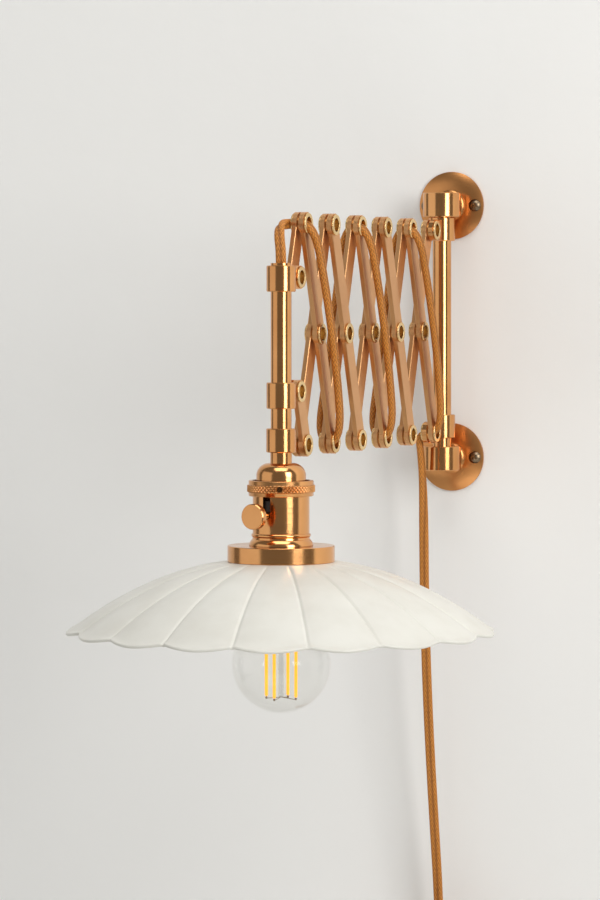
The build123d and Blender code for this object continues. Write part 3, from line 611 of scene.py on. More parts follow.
def surface(
    name: str,
    points: np.ndarray,
    wrap_rows: bool = False,
    cap_ends: bool = False,
    uv: tuple[np.ndarray, np.ndarray] | None = None,
    sharp: float = 35.0,
) -> bpy.types.Object:
    """A piece from a grid of points that closes on itself along its columns.

    Face (i, j) joins grid points (i, j), (i, j + 1), (i + 1, j + 1) and (i + 1, j).

    Args:
        name: the piece's name.
        points: the grid, rows by columns by three, in metres.
        wrap_rows: whether the last row joins the first.
        cap_ends: whether the first and last rows are closed with a face.
        uv: values along the columns, one more than there are columns, and along the rows.
        sharp: edges that turn by more than this many degrees stay crisp.

    Returns:
        The piece, in the scene.
    """
    rows, columns = points.shape[:2]
    bands = rows if wrap_rows else rows - 1
    i, j = (part.ravel() for part in np.indices((bands, columns)))
    below, beside = (i + 1) % rows, (j + 1) % columns
    quad = [(i, j), (i, beside), (below, beside), (below, j)]
    faces = np.stack([row * columns + column for row, column in quad], 1).tolist()
    if cap_ends:
        faces.append(list(range(columns))[::-1])
        faces.append(list(range((rows - 1) * columns, rows * columns)))
    mesh = bpy.data.meshes.new(name)
    mesh.from_pydata(points.reshape(-1, 3), [], faces)
    if uv is not None:
        across, along = uv
        places = np.zeros((len(mesh.loops), 2))
        places[: 4 * len(i), 0] = np.stack([across[k] for k in (j, j + 1, j + 1, j)], 1).ravel()
        places[: 4 * len(i), 1] = np.stack([along[k] for k in (i, i, below, below)], 1).ravel()
        mesh.uv_layers.new(name="UVMap").data.foreach_set("uv", places.ravel())
    shape = bmesh.new()
    shape.from_mesh(mesh)
    bmesh.ops.remove_doubles(shape, verts=shape.verts, dist=WELD)
    bmesh.ops.recalc_face_normals(shape, faces=shape.faces)
    shape.to_mesh(mesh)
    shape.free()
    smooth(mesh)
    mesh.set_sharp_from_angle(angle=radians(sharp))
    return place_in_scene(name, mesh)


def turned(
    name: str, profile: np.ndarray, axis_y: float, closed: bool, columns: int = 96
) -> bpy.types.Object:
    """A profile of (radius, height) pairs carried round an upright axis at x = 0.

    Args:
        name: the piece's name.
        profile: the pairs, in metres.
        axis_y: where the axis stands.
        closed: whether the profile is a closed loop; an open one starts and ends on the axis.
        columns: steps round the axis.

    Returns:
        The piece.
    """
    grid = round_axis(profile[:, :1], around(columns), profile[:, 1:], axis_y)
    return surface(name, grid, wrap_rows=closed)


def arc(centre: Pair, radius: float, start: float, end: float, steps: int) -> np.ndarray:
    """Points on a circle in the plane of a profile, between two angles in degrees from +radius."""
    t = np.radians(np.linspace(start, end, steps))
    return np.stack([centre[0] + radius * np.cos(t), centre[1] + radius * np.sin(t)], 1)


def bezier(corners: Sequence[Pair], steps: int) -> np.ndarray:
    """Points on a cubic curve: the four corners weighted by the cubic's four terms."""
    t = np.linspace(0, 1, steps)[:, None]
    a, b, c, d = (np.array(p) for p in corners)
    return (1 - t) ** 3 * a + 3 * (1 - t) ** 2 * t * b + 3 * (1 - t) * t**2 * c + t**3 * d


def route_curve(name: str, points: Sequence[Point]) -> bpy.types.Curve:
    """The smooth spline that has a route's points as its control points."""
    curve = bpy.data.curves.new(name, "CURVE")
    curve.dimensions = "3D"
    curve.resolution_u = 16
    spline = curve.splines.new("NURBS")
    spline.points.add(len(points) - 1)
    for control, point in zip(spline.points, points):
        control.co = (*point, 1.0)
    spline.order_u = 3
    spline.use_endpoint_u = True
    return curve


def smooth_route(name: str, points: Sequence[Point], step: float) -> np.ndarray:
    """Evenly spaced points along the smooth spline of a route.

    Args:
        name: a name for the curve.
        points: the spline's control points, in metres.
        step: the spacing, in metres.

    Returns:
        The points, one row each.
    """
    holder = place_in_scene(name, route_curve(name, points))
    bpy.context.view_layer.update()
    shown = holder.evaluated_get(bpy.context.evaluated_depsgraph_get())
    mesh = bpy.data.meshes.new_from_object(shown)
    line = np.empty(len(mesh.vertices) * 3)
    mesh.vertices.foreach_get("co", line)
    line = line.reshape(-1, 3)
    bpy.data.objects.remove(holder)
    bpy.data.meshes.remove(mesh)
    length = length_along(line)
    even = np.linspace(0, length[-1], max(4, int(length[-1] / step) + 1))
    return between(even, length, line)


@dataclass(frozen=True)
class Cordage:
    """A flat cord: two round cores side by side under one braided cover."""

    width: float = 0.0064
    core: float = 0.0021
    columns: int = 24
    step: float = 0.0012

    def make(
        self, name: str, path: np.ndarray, sides: Sequence[tuple[float, Point]]
    ) -> bpy.types.Object:
        """A tube along a path.

        The section is the outline of two circles of radius q whose centres are d to either side:
        at angle a the radius is d |cos a| + sqrt(q^2 - d^2 sin^2 a). The angle is measured from a
        side vector, the wide way of the cord, which changes smoothly along the path.

        Args:
            name: the piece's name.
            path: the points it follows, in metres.
            sides: pairs of a share of the length and the side vector there.

        Returns:
            The piece, with coordinates round it and along it in metres.
        """
        tangent = unit(np.gradient(path, axis=0))
        length = length_along(path)
        keys = np.array([share for share, _ in sides]) * length[-1]
        side = between(length, keys, np.array([vector for _, vector in sides], dtype=float))
        one = unit(side - np.sum(side * tangent, axis=1, keepdims=True) * tangent)
        two = np.cross(tangent, one)
        a = around(self.columns)
        d = self.width / 2 - self.core
        r = d * np.abs(np.cos(a)) + np.sqrt(self.core**2 - (d * np.sin(a)) ** 2)
        ring = np.cos(a)[None, :, None] * one[:, None] + np.sin(a)[None, :, None] * two[:, None]
        grid = path[:, None] + r[None, :, None] * ring
        uv = (np.linspace(0, 1, self.columns + 1), length)
        return surface(name, grid, cap_ends=True, uv=uv, sharp=60.0)


# ------------------------------------------------------------------ dressing
FRAME_WELD = 1e-6  # frame corners closer than this are one
CRISP = radians(28)  # frame edges that turn by more than this stay crisp


def dress(piece: bpy.types.Object, material: bpy.types.Material) -> None:
    """Gives every slot of a piece one material."""
    if not piece.data.materials:
        piece.data.materials.append(material)
    for slot in piece.material_slots:
        slot.material = material


@dataclass
class Workshop:
    """The frame, the place of the lamp's axis and the finishes made so far."""

    nodes: Mapping[str, bpy.types.Object]
    axis_y: float
    made: dict[str, bpy.types.Material] = field(default_factory=dict)

    def material(self, finish: Finish) -> bpy.types.Material:
        """The finish's material, made once."""
        if finish.name not in self.made:
            self.made[finish.name] = finish.make()
        return self.made[finish.name]

    def keep(self, finish: Finish, *names: str) -> None:
        """Frame pieces that keep their shape get smooth shading and a finish.

        Args:
            finish: what they are finished in.
            names: the pieces.
        """
        for name in names:
            node = self.nodes[name]
            dress(node, self.material(finish))
            smooth(node.data)
            node.modifiers.new("weld", "WELD").merge_threshold = FRAME_WELD
            node.modifiers.new("crisp edges", "EDGE_SPLIT").split_angle = CRISP
            LOG.info("kept %s, finished in %s", name, finish.name)

    def add(
        self, piece: bpy.types.Object, finish: Finish, body: str, slot: str, *stands_for: str
    ) -> bpy.types.Object:
        """A new piece gets its finish and its body.

        Args:
            piece: the piece, in place.
            finish: what it is finished in.
            body: the body that it moves with.
            slot: the record's material slot; not used.
            stands_for: the frame pieces that it stands for.

        Returns:
            The piece.
        """
        dress(piece, self.material(finish))
        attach(piece, body)
        if stands_for:
            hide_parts(*stands_for)
        LOG.info("made %s on %s, finished in %s", piece.name, body, finish.name)
        return piece


class Group:
    """Pieces that are built together."""

    def build(self, shop: Workshop) -> None:
        """Makes and dresses the group's pieces.

        Args:
            shop: the frame, the lamp's axis and the finishes.
        """
        raise NotImplementedError


@dataclass
class WallSide(Group):
    """Plates, rod sockets, rod, wall collars and screws."""

    plate_spacing: float = 0.1727

    def build(self, shop: Workshop) -> None:
        """Dresses the pieces at the wall."""
        for side, centre_z in (("upper", 0.0), ("lower", -self.plate_spacing)):
            name = f"copper_{side}_plate"
            finish = Metal(name, *PLATE_COPPER, 0.3, Grain.ROUND_WALL, centre_z)
            shop.keep(finish, f"{side}_wall_plate")
        shop.keep(TURNED_COPPER, "upper_rod_socket", "lower_rod_socket", "wall_rod")
        shop.keep(TURNED_COPPER, "upper_wall_collar", "lower_wall_collar")
        shop.keep(DARK_STEEL, "wall_screws", "wall_collar_screw")
        shop.keep(YELLOW_BRASS, "upper_wall_eyelet")


@dataclass
class ScissorArm(Group):
    """The two layers of flat bars, the end links and the hollow eyelets."""

    cells: int = 5
    fold: float = radians(18.4)

    def build(self, shop: Workshop) -> None:
        """Dresses the arm; front bars lean one way and back bars the other."""
        cells = range(1, self.cells + 1)
        layers = (("front", -self.fold, "link_lower"), ("back", self.fold, "link_upper"))
        for layer, lean, link in layers:
            name = f"bar_copper_{layer}"
            finish = Metal(name, *BAR_COPPER, 0.36, Grain.ALONG, lean=lean)
            shop.keep(finish, *(f"bar_{layer}_{i}" for i in cells), link)
        shop.keep(YELLOW_BRASS, *(f"eyelets_{i}" for i in cells), "eyelets_link")


@dataclass
class LampHead(Group):
    """Tube, collars, coupling and the turn-switch socket."""

    ring_top: float = -0.1748
    ring_height: float = 0.0095
    ring_radius: float = 0.01985
    ring_bore: float = 0.01755
    bevel: float = 0.00035
    band_top: float = 0.0026
    band_low: float = 0.0022
    band_rows: int = 30
    band_lip: float = 0.0001
    knurl: float = 0.0009
    knurl_ease: float = 0.0004
    teeth: int = 54
    columns_each: int = 8
    hole_azimuth: float = radians(20.0)
    hole_radius: float = 0.0013
    hole_land: float = 1.35
    hole_depth: float = 0.0018

    def build(self, shop: Workshop) -> None:
        """Dresses the metalwork that carries the shade, and makes its knurled ring."""
        shop.keep(TURNED_COPPER, "lamp_tube", "upper_lamp_collar", "lower_lamp_collar")
        shop.keep(TURNED_COPPER, "tube_coupling", "turn_knob", "shade_nut", "socket_nipple")
        shop.keep(TURNED_COPPER, "cord_bushing")
        shop.keep(SHEET_COPPER, "socket_cap", "socket_shell", "shade_fitter")
        shop.keep(YELLOW_BRASS, "upper_lamp_eyelet", "bulb_base")
        shop.keep(DARK_STEEL, "lamp_collar_screw")
        shop.keep(BLACK_PLASTIC, "lampholder")
        self.ring(shop)

    def ring(self, shop: Workshop) -> None:
        """The clamping ring, its middle band pressed into diamonds, with a small blind screw hole.

        On the band the radius grows by knurl times min(|sin p|, |sin q|), where p and q are
        teeth / 2 times the angle plus and minus the height over the radius. Round the hole the
        band is left plain, out to hole_land times the hole's radius.

        Args:
            shop: the frame, the lamp's axis and the finishes.
        """
        low = self.ring_top - self.ring_height
        band = (low + self.band_low, self.ring_top - self.band_top)
        edge = [
            (self.ring_bore, self.ring_top),
            (self.ring_radius - self.bevel, self.ring_top),
            (self.ring_radius, self.ring_top - self.bevel),
            (self.ring_radius, band[1] + self.band_lip),
        ]
        heights = np.linspace(band[1], band[0], self.band_rows)
        middle = [(self.ring_radius + self.band_lip, z) for z in heights]
        foot = [(r, self.ring_top + low - z) for r, z in edge[::-1]]
        foot[0] = (self.ring_radius, band[0] - self.band_lip)
        profile = np.array(edge + middle + foot)
        a = around(self.teeth * self.columns_each)[None]
        r, z = profile[:, :1] + 0 * a, profile[:, 1:] + 0 * a
        rise = z / self.ring_radius
        cuts = [np.abs(np.sin(self.teeth / 2 * (a + way * rise))) for way in (1, -1)]
        ease = np.clip(np.minimum(band[1] - z, z - band[0]) / self.knurl_ease, 0, 1)
        inside = (z <= band[1]) & (z >= band[0])
        r = r + self.knurl * np.minimum(*cuts) * np.where(inside, ease, 0)
        middle_z = self.ring_top - self.ring_height / 2
        away = np.hypot((a - self.hole_azimuth) * self.ring_radius, z - middle_z)
        r = np.where(inside & (away < self.hole_radius * self.hole_land), self.ring_radius, r)
        r = np.where(inside & (away < self.hole_radius), self.ring_radius - self.hole_depth, r)
        grid = round_axis(r, a, z, shop.axis_y)
        piece = surface("knurled_ring", grid, wrap_rows=True, sharp=50.0)
        finish = KnurledMetal(
            "copper_knurled",
            *COPPER,
            0.2,
            axis_y=shop.axis_y,
            band=band,
            bottom=self.ring_radius + 0.05 * self.knurl,
            top=self.ring_radius + 0.6 * self.knurl,
        )
        shop.add(piece, finish, "lamp", "copper", "socket_ring")


@dataclass
class PetalShade(Group):
    """White shade of eighteen arched petals round a flat centre, with a rolled rim."""

    petals: int = 18
    hole: float = 0.0175
    flat: float = 0.03275
    notch: float = 0.1252
    tip: float = 0.1300
    top: float = -0.2244
    wall: float = 0.0012
    slope: float = 0.15
    drop: float = 3.2
    bulge: float = 0.0028
    groove: float = 0.0006
    groove_width: float = 0.0009
    bead: float = 0.00105
    bead_rows: int = 7
    columns_each: int = 40
    rows: int = 34

    def build(self, shop: Workshop) -> None:
        """Makes the shade.

        Within a petal, w runs from -1 at one seam to 1 at the next, and its angle is w times half
        a petal. The rim's radius is a circle's arc from notch to tip. A point at radius r lies
        slope p + drop p^2 below the flat, where p is how far r cos(angle) is past the flat, and
        stands up by bulge (1 - |w|^2.4) times the share of the way out to the power 0.7. A fine
        groove runs along each seam. The section goes out along the top, round the bead and back
        along the underside.
        """
        half = pi / self.petals
        even = np.linspace(-1, 1, self.columns_each, endpoint=False)
        w = np.sin(even * pi / 2) * 0.6 + even * 0.4
        angle = (np.arange(self.petals)[:, None] * 2 * half + w[None] * half).ravel()
        w = np.tile(w, self.petals)
        rim = self.rim_radius(w * half, half)
        r = self.hole + np.linspace(0, 1, self.rows)[:, None] ** 0.85 * (rim - self.hole)
        top = self.height(r, w, half)
        turn = np.radians(np.linspace(90, -90, self.bead_rows))[:, None]
        bead_r = rim + self.bead * 0.2 + self.bead * np.cos(turn)
        bead_z = self.height(rim[None], w, half) - self.wall * 0.5 + self.bead * np.sin(turn)
        radius = np.concatenate([r[:-1], bead_r, r[:-1][::-1]])
        height = np.concatenate([top[:-1], bead_z, (top[::-1] - self.wall)[1:]])
        grid = round_axis(radius, angle, height, shop.axis_y)
        piece = surface("petal_shade", grid, wrap_rows=True, sharp=70.0)
        shop.add(piece, WHITE_ENAMEL, "lamp", "white_enamel", "shade")

    def rim_radius(self, angle: np.ndarray, half: float) -> np.ndarray:
        """Radius of the rim at an angle from a petal's middle.

        The rim is the circle through the tip and both notches: with its centre at distance c and
        its own radius q, the radius at an angle is c cos + sqrt(q^2 - c^2 sin^2).
        """
        nx, ny = self.notch * cos(half), self.notch * sin(half)
        q = ((self.tip - nx) ** 2 + ny**2) / (2 * (self.tip - nx))
        c = self.tip - q
        return c * np.cos(angle) + np.sqrt(q**2 - (c * np.sin(angle)) ** 2)

    def height(self, r: np.ndarray, w: np.ndarray, half: float) -> np.ndarray:
        """Height of the top face at a radius and a place across the petal."""
        past = np.maximum(r * np.cos(w * half) - self.flat, 0)
        share = np.clip(past / (self.tip - self.flat), 0, 1.05)
        arch = self.bulge * share**0.7 * (1 - np.abs(w) ** 2.4)
        from_seam = (1 - np.abs(w)) * half * r
        depth = self.groove * np.clip(8 * share, 0, 1)
        crease = depth * np.exp(-((from_seam / self.groove_width) ** 2))
        return self.top - self.slope * past - self.drop * past**2 + arch - crease


@dataclass
class GlobeBulb(Group):
    """Clear globe with a glass stem and four glowing sticks."""

    radius: float = 0.0303
    centre_z: float = -0.2866
    wall: float = 0.0008
    neck: float = 0.0129
    base_z: float = -0.244
    shoulder: float = 52.0
    stem_radius: float = 0.0017
    stick_radius: float = 0.0010
    wire_radius: float = 0.0002
    stick_top: Pair = (0.0100, -0.2710)
    stick_low: Pair = (0.0099, -0.3070)
    sticks: int = 4
    turn: float = radians(-2.0)

    def outline(self, inset: float) -> np.ndarray:
        """The glass from neck to lowest point, in (radius, height), shrunk by an inset."""
        r, neck = self.radius - inset, self.neck - inset
        a = radians(self.shoulder)
        meet = (r * cos(a), self.centre_z + r * sin(a))
        reach = 0.008 * 0.7
        lead = (meet[0] - sin(a) * reach, meet[1] + cos(a) * reach)
        start = (neck, self.base_z - 0.002)
        swell = bezier([start, (neck, start[1] - 0.006), lead, meet], 14)
        globe = arc((0.0, self.centre_z), r, self.shoulder, -90, 40)
        return np.concatenate([[(neck, self.base_z)], swell, globe[1:]])

    def build(self, shop: Workshop) -> None:
        """Makes glass, stem, wires and sticks."""
        axis_y = shop.axis_y
        outer, inner = self.outline(0.0), self.outline(self.wall)
        lowest = [(1e-5, outer[-1, 1]), (1e-5, inner[-1, 1])]
        profile = np.concatenate([outer[:-1], lowest, inner[:-1][::-1]])
        glass = turned("globe_glass", profile, axis_y, True)
        shop.add(glass, CLEAR_GLASS, "lamp", "clear_glass", "bulb_glass")
        top = self.base_z - 0.0001
        foot = [(0.0072, top), (0.0050, top - 0.004), (0.0018, top - 0.006)]
        flare = bezier([*foot, (self.stem_radius, top - 0.018)], 14)
        tip = arc((0.0, self.stick_low[1] + 0.0015), self.stem_radius, 0, -90, 6)
        profile = np.concatenate([[(0.0, top)], flare, tip])
        stem = turned("glass_stem", profile, axis_y, False, 32)
        shop.add(stem, STEM_GLASS, "lamp", "clear_glass", "bulb_stem")
        for k in range(self.sticks):
            turn = 2 * pi * k / self.sticks + self.turn
            ends = [round_axis(r, turn, z, axis_y) for r, z in (self.stick_top, self.stick_low)]
            stick = self.rod(f"glow_stick_{k + 1}", ends[0], ends[1], self.stick_radius)
            shop.add(stick, AMBER_GLOW, "lamp", "warm_filament")
            if k == 0:
                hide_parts("bulb_filaments")
            for n, (here, there) in enumerate((ends, ends[::-1])):
                toward = unit(here - there)
                hub = np.array([0.0, axis_y, here[2]])
                metal = (
                    ("stick_cap", here, here + toward * 0.0016, self.stick_radius * 0.7),
                    ("stick_wire", here + toward * 0.0012, hub, self.wire_radius),
                )
                for part, start, end, radius in metal:
                    piece = self.rod(f"{part}_{k + 1}_{n + 1}", start, end, radius)
                    shop.add(piece, STICK_CAP, "lamp", "dark_steel")

    def rod(self, name: str, start: np.ndarray, end: np.ndarray, radius: float) -> bpy.types.Object:
        """A round stick with domed ends: its radius is r sqrt(1 - e^2) within r of an end.

        Args:
            name: the piece's name.
            start: one end.
            end: the other end.
            radius: its radius.

        Returns:
            The stick.
        """
        length = float(np.linalg.norm(end - start))
        cap = np.sin(np.linspace(0, pi / 2, 5))
        at = np.concatenate([(1 - cap[::-1]) * radius, length - (1 - cap) * radius])
        size = np.concatenate([np.sqrt(1 - cap[::-1] ** 2), np.sqrt(1 - cap**2)]) * radius
        axis = unit(end - start)
        side = unit(np.cross(axis, (0.3, 0.2, 0.9)))
        other = np.cross(axis, side)
        a = around(14)
        ring = np.cos(a)[:, None] * side + np.sin(a)[:, None] * other
        grid = start + at[:, None, None] * axis + size[:, None, None] * ring[None]
        return surface(name, grid, sharp=50.0)


# The (y, z) of the eyelets that the cord passes, from the lamp to the wall, in millimetres.
CORD_STOPS = (
    (-269.333, -17.6),
    (-223.816, -154.428),
    (-178.300, -17.6),
    (-132.783, -154.428),
    (-87.267, -17.6),
    (-41.75, -154.428),
)
SPLINE_IN = 0.9662  # a spline's radius over that of its control points, 30 degrees apart


@dataclass
class BraidedCord(Group):
    """The cord: inside the tube, over to the arm, along five bars, and down to its coil and plug.

    Its own lengths are in millimetres, apart from the strap's; those of its cordage in metres.
    """

    cord: Cordage = Cordage()
    out: float = 8.4
    bow: float = 1.0
    lean: float = 4.2
    coil_x: float = -2.8
    coil_y: float = -61.5
    coil_z: float = -526.0
    coil_inner: float = 28.0
    coil_pitch: float = 8.0
    coil_layer: float = 8.6
    turns_in: int = 4
    tail: float = 58.0
    strap: float = 0.0007  # half the strap's thickness, in metres
    facing: Point = (0.92, 0.38, 0.0)

    def build(self, shop: Workshop) -> None:
        """Makes the whole cord."""
        self.inside(shop)
        self.loop(shop)
        for n in range(1, len(CORD_STOPS)):
            self.run(shop, n)
        self.hanging(shop)

    def follow(self, name: str, points: Sequence[Point]) -> np.ndarray:
        """Evenly spaced points along a route, close enough for the cord's section."""
        return smooth_route(name, points, self.cord.step)

    def inside(self, shop: Workshop) -> None:
        """The stretch inside the tube."""
        heights = (-0.187, -0.160, -0.120, -0.085, -0.0492)
        path = self.follow("cord_inside_line", [(0.0, shop.axis_y, z) for z in heights])
        piece = self.cord.make("braided_cord_inside", path, [(0, self.facing), (1, self.facing)])
        shop.add(piece, GOLD_BRAID, "lamp", "gold_braid", "cord_in_tube")

    def loop(self, shop: Workshop) -> None:
        """The free stretch from the tube over to the back of the first eyelet."""
        route = [
            (0.0, -0.302143, -0.049249),
            (0.0, -0.302143, -0.036249),
            (-0.0030, -0.298143, -0.025749),
            (-0.0072, -0.287143, -0.018749),
            (-0.0090, -0.269333, -0.0176),
            (0.0, -0.269333, -0.0176),
        ]
        path = self.follow("cord_loop_line", route)
        flat = (0, 0.5, 0.87)
        sides = [(0, self.facing), (0.3, self.facing), (0.75, flat), (1, flat)]
        piece = self.cord.make("braided_cord_loop", path, sides)
        dress(piece, shop.material(GOLD_BRAID))
        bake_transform(piece)
        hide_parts("cord_loop")

    def run(self, shop: Workshop, n: int) -> None:
        """The stretch along one bar, from the middle of one eyelet to the middle of the next.

        Odd stretches lie on the front bars and even ones on the back bars. Each leans away from
        its bar's middle line and stands out a little more between its ends.

        Args:
            shop: the frame, the lamp's axis and the finishes.
            n: its number, 1 for the one at the lamp.
        """
        side, layer = (1, "front") if n % 2 == 1 else (-1, "back")
        a, b = np.array(CORD_STOPS[n - 1]), np.array(CORD_STOPS[n])
        along = unit(b - a)
        across = np.array([abs(along[1]), along[0] if along[1] < 0 else -along[0]])
        points = [np.array([0.0, *a]), np.array([side * self.out, *a])]
        for share, lean in ((0.3, 0.85), (0.68, 1.0)):
            flat = a + share * (b - a) + lean * self.lean * across
            points.append(np.array([side * (self.out + lean * self.bow), *flat]))
        points += [np.array([side * self.out, *b]), np.array([0.0, *b])]
        path = self.follow(f"cord_run_line_{n}", [tuple(p * MM) for p in points])
        normal = (0.0, float(across[0]), float(across[1]))
        piece = self.cord.make(f"braided_cord_run_{n}", path, [(0, normal), (1, normal)])
        shop.add(piece, GOLD_BRAID, f"{layer}_bar_{n}", "gold_braid", f"cord_run_{n}")

    def coil_radius(self, k: int) -> float:
        """Distance of the cord from the coil's middle after k half turns."""
        steps = self.turns_in - k if k <= self.turns_in else k - self.turns_in - 1
        return self.coil_inner + self.coil_pitch / 2 * steps

    def coil_route(self) -> np.ndarray:
        """Control points of the coil, in millimetres.

        Half turn k is half a circle between the radii before and after it, on alternate sides,
        with six points at odd multiples of 15 degrees. The points stand out by 1 / SPLINE_IN, so
        that the spline they control has the circle's radius. The half turn in which the
        spiral turns round also moves over by one layer.

        Returns:
            The points, one row each.
        """
        rows = []
        swing = np.radians(np.arange(15, 180, 30))
        for k in range(2 * self.turns_in + 2):
            side = 1 if k % 2 == 0 else -1
            near, far = self.coil_radius(k), self.coil_radius(k + 1)
            r = side * (near + far) / 2 / SPLINE_IN
            layer = 0.0 if k < self.turns_in else 1.0
            move = layer if k != self.turns_in else (1 - np.cos(swing)) / 2
            x = self.coil_x + self.coil_layer * move + 0 * swing
            y = self.coil_y + side * (near - far) / 2 + r * np.cos(swing)
            rows.append(np.stack([x, y, self.coil_z - r * np.sin(swing)], 1))
        return np.concatenate(rows)

    def hanging(self, shop: Workshop) -> None:
        """The free stretch behind the last eyelet, down to the coil and the plug."""
        down = [
            (0.0, -41.75, -154.428),
            (-9.0, -41.75, -154.428),
            (-7.9, -39.6, -170.0),
            (-7.6, -36.4, -190.0),
            (-7.3, -35.6, -222.0),
            (-7.1, -35.3, -262.0),
            (-6.6, -33.0, -312.0),
            (-5.9, -29.0, -362.0),
            (-4.6, -24.6, -412.0),
            (-2.9, -20.4, -462.0),
        ]
        first, last = self.coil_radius(0), self.coil_radius(2 * self.turns_in + 2)
        lead = [(self.coil_x, self.coil_y + first, z) for z in (-494.0, self.coil_z + 9.0)]
        end_x, end_y = self.coil_x + self.coil_layer, self.coil_y + last
        tail = [(end_x, end_y, self.coil_z - drop) for drop in (8.0, 30.0, self.tail)]
        route = np.concatenate([down, lead, self.coil_route(), tail]) * MM
        path = self.follow("cord_hanging_line", [tuple(p) for p in route])
        upper = [(0, (0, 1, 0)), (0.02, (0, 1, 0)), (0.05, self.facing), (0.18, self.facing)]
        sides = [*upper, (0.23, (1, 0, 0)), (1, (1, 0, 0))]
        piece = self.cord.make("braided_cord_hanging", path, sides)
        body = "lower_wall_slider"
        shop.add(piece, GOLD_BRAID, body, "gold_braid", "cord_hanging", "cord_coil")
        tie = self.tie(shop, body)
        plug = Plug(body, (end_x * MM, end_y * MM, (self.coil_z - self.tail) * MM)).build(shop)
        shop.keep(BLADE_METAL, "plug_blades")

    def tie(self, shop: Workshop, body: str) -> bpy.types.Object:
        """The leather band round the coil.

        Its path is a rounded rectangle, the box's half sizes times |cos|^0.35 and |sin|^0.35,
        and its section a flat oval.

        Args:
            shop: the frame, the lamp's axis and the finishes.
            body: the body that it moves with.

        Returns:
            The band.
        """
        low, high = (np.array(v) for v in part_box("coil_tie"))
        centre, half = (low + high) / 2, (high - low) / 2
        path = np.stack(rounded(around(96), 0.35), 1) * (half[:2] - self.strap)
        normal = unit(path / half[:2] ** 2)
        thin = self.strap * rounded(around(20), 0.6)[0]
        tall = half[2] * rounded(around(20), 0.35)[1]
        flat = path[:, None] + normal[:, None] * thin[None, :, None] + centre[:2]
        height = (centre[2] + tall)[None, :, None] + 0 * flat[..., :1]
        band = surface(
            "leather_strap", np.concatenate([flat, height], axis=-1), wrap_rows=True, sharp=60.0
        )
        return shop.add(band, BROWN_LEATHER, body, "leather", "coil_tie")


@dataclass
class Plug:
    """Moulded two-blade plug with a ribbed, tapered nose, below the cord's end."""

    rides_on: str
    top: Point
    width: float = 0.0125
    depth: float = 0.0080
    nose: float = 0.022
    nose_radius: float = 0.0048
    nose_grows: float = 0.0012
    body: float = 0.024
    ribbed: float = 0.72
    ribs: int = 5
    rib_height: float = 0.00055
    end_bevel: float = 0.0022

    def build(self, shop: Workshop) -> bpy.types.Object:
        """Makes the plug.

        A section at distance s below the cord's end is the curve |x / a|^n + |y / b|^n = 1; a and
        b grow from the nose's radius to the body's half width and depth, n grows from 2 to 5, and
        the nose has shallow ribs.

        Args:
            shop: the frame, the lamp's axis and the finishes.

        Returns:
            The plug.
        """
        total, ribbed = self.nose + self.body, self.nose * self.ribbed
        nose = np.linspace(0, self.nose, 60)
        s = np.concatenate([nose, np.linspace(self.nose + 0.0004, total, 30)])
        grow = np.clip((s - ribbed) / (self.nose * 0.42), 0, 1)
        grow = grow * grow * (3 - 2 * grow)
        rib = self.rib_height * np.sin(s / ribbed * pi * 2 * self.ribs) * (s < ribbed)
        taper = self.nose_radius + self.nose_grows * s / self.nose + rib
        close = np.clip((total - s) / self.end_bevel, 0, 1)
        soft = 1 - 0.16 * (1 - np.sqrt(1 - (1 - close) ** 2))
        waist = 1 - 0.10 * np.exp(-(((s - self.nose - self.body * 0.45) / 0.007) ** 2))
        a = (taper + (self.width - taper) * grow) * soft * waist
        b = (taper + (self.depth - taper) * grow) * soft
        x, y = rounded(around(64)[None], (2 / (2 + 3 * grow))[:, None])
        x, y = self.top[0] + a[:, None] * x, self.top[1] + b[:, None] * y
        grid = np.stack([x, y, self.top[2] - s[:, None] + 0 * x], axis=-1)
        ends = [np.broadcast_to(grid[i].mean(0), grid[i].shape)[None] for i in (0, -1)]
        piece = surface("moulded_plug", np.concatenate([ends[0], grid, ends[1]]), sharp=50.0)
        return shop.add(piece, BLACK_PLASTIC, self.rides_on, "dark_plastic", "plug_body")


# ------------------------------------------------------------------ studio
AIM = (0.0, -0.2, -0.15)  # the middle of the object, where the lamps look


def look(thing: bpy.types.Object, place: Sequence[float], ahead: Sequence[float]) -> None:
    """Puts a camera or lamp at a place and turns its -Z ahead, with its +Y upwards."""
    thing.location = place
    thing.rotation_mode = "QUATERNION"
    thing.rotation_quaternion = Vector(ahead).to_track_quat("-Z", "Y")


@dataclass(frozen=True)
class Paint(Finish):
    """Matt wall paint on fine plaster, clear from behind."""

    colour: Colour

    def inputs(self, net: Net) -> dict[str, Value]:
        """Faint clouds over plaster."""
        shade = tuple(c * 0.985 for c in self.colour)
        return {
            "Base Color": net.mix(net.noise(2.2, 3.0).step(0.3, 0.7), self.colour, shade),
            "Roughness": 0.9,
            "Normal": net.bump(net.noise(60.0, 6.0), 0.0006, 0.5),
        }

    def shader(self, net: Net) -> Sock:
        """The paint in front and nothing behind."""
        behind = net.node("ShaderNodeNewGeometry", out="Backfacing")
        return net.blend(behind, super().shader(net), net.node("ShaderNodeBsdfTransparent"))


@dataclass(frozen=True)
class SoftLight:
    """A soft rectangular lamp that looks at the middle of the object."""

    name: str
    place: Point
    size: Pair
    power: float
    colour: Colour = (1.0, 1.0, 1.0)

    def add(self) -> None:
        """Puts the lamp in the scene."""
        data = bpy.data.lights.new(self.name, "AREA")
        data.shape = "RECTANGLE"
        data.size, data.size_y = self.size
        data.energy = self.power
        data.color = self.colour
        look(place_in_scene(self.name, data), self.place, Vector(AIM) - Vector(self.place))


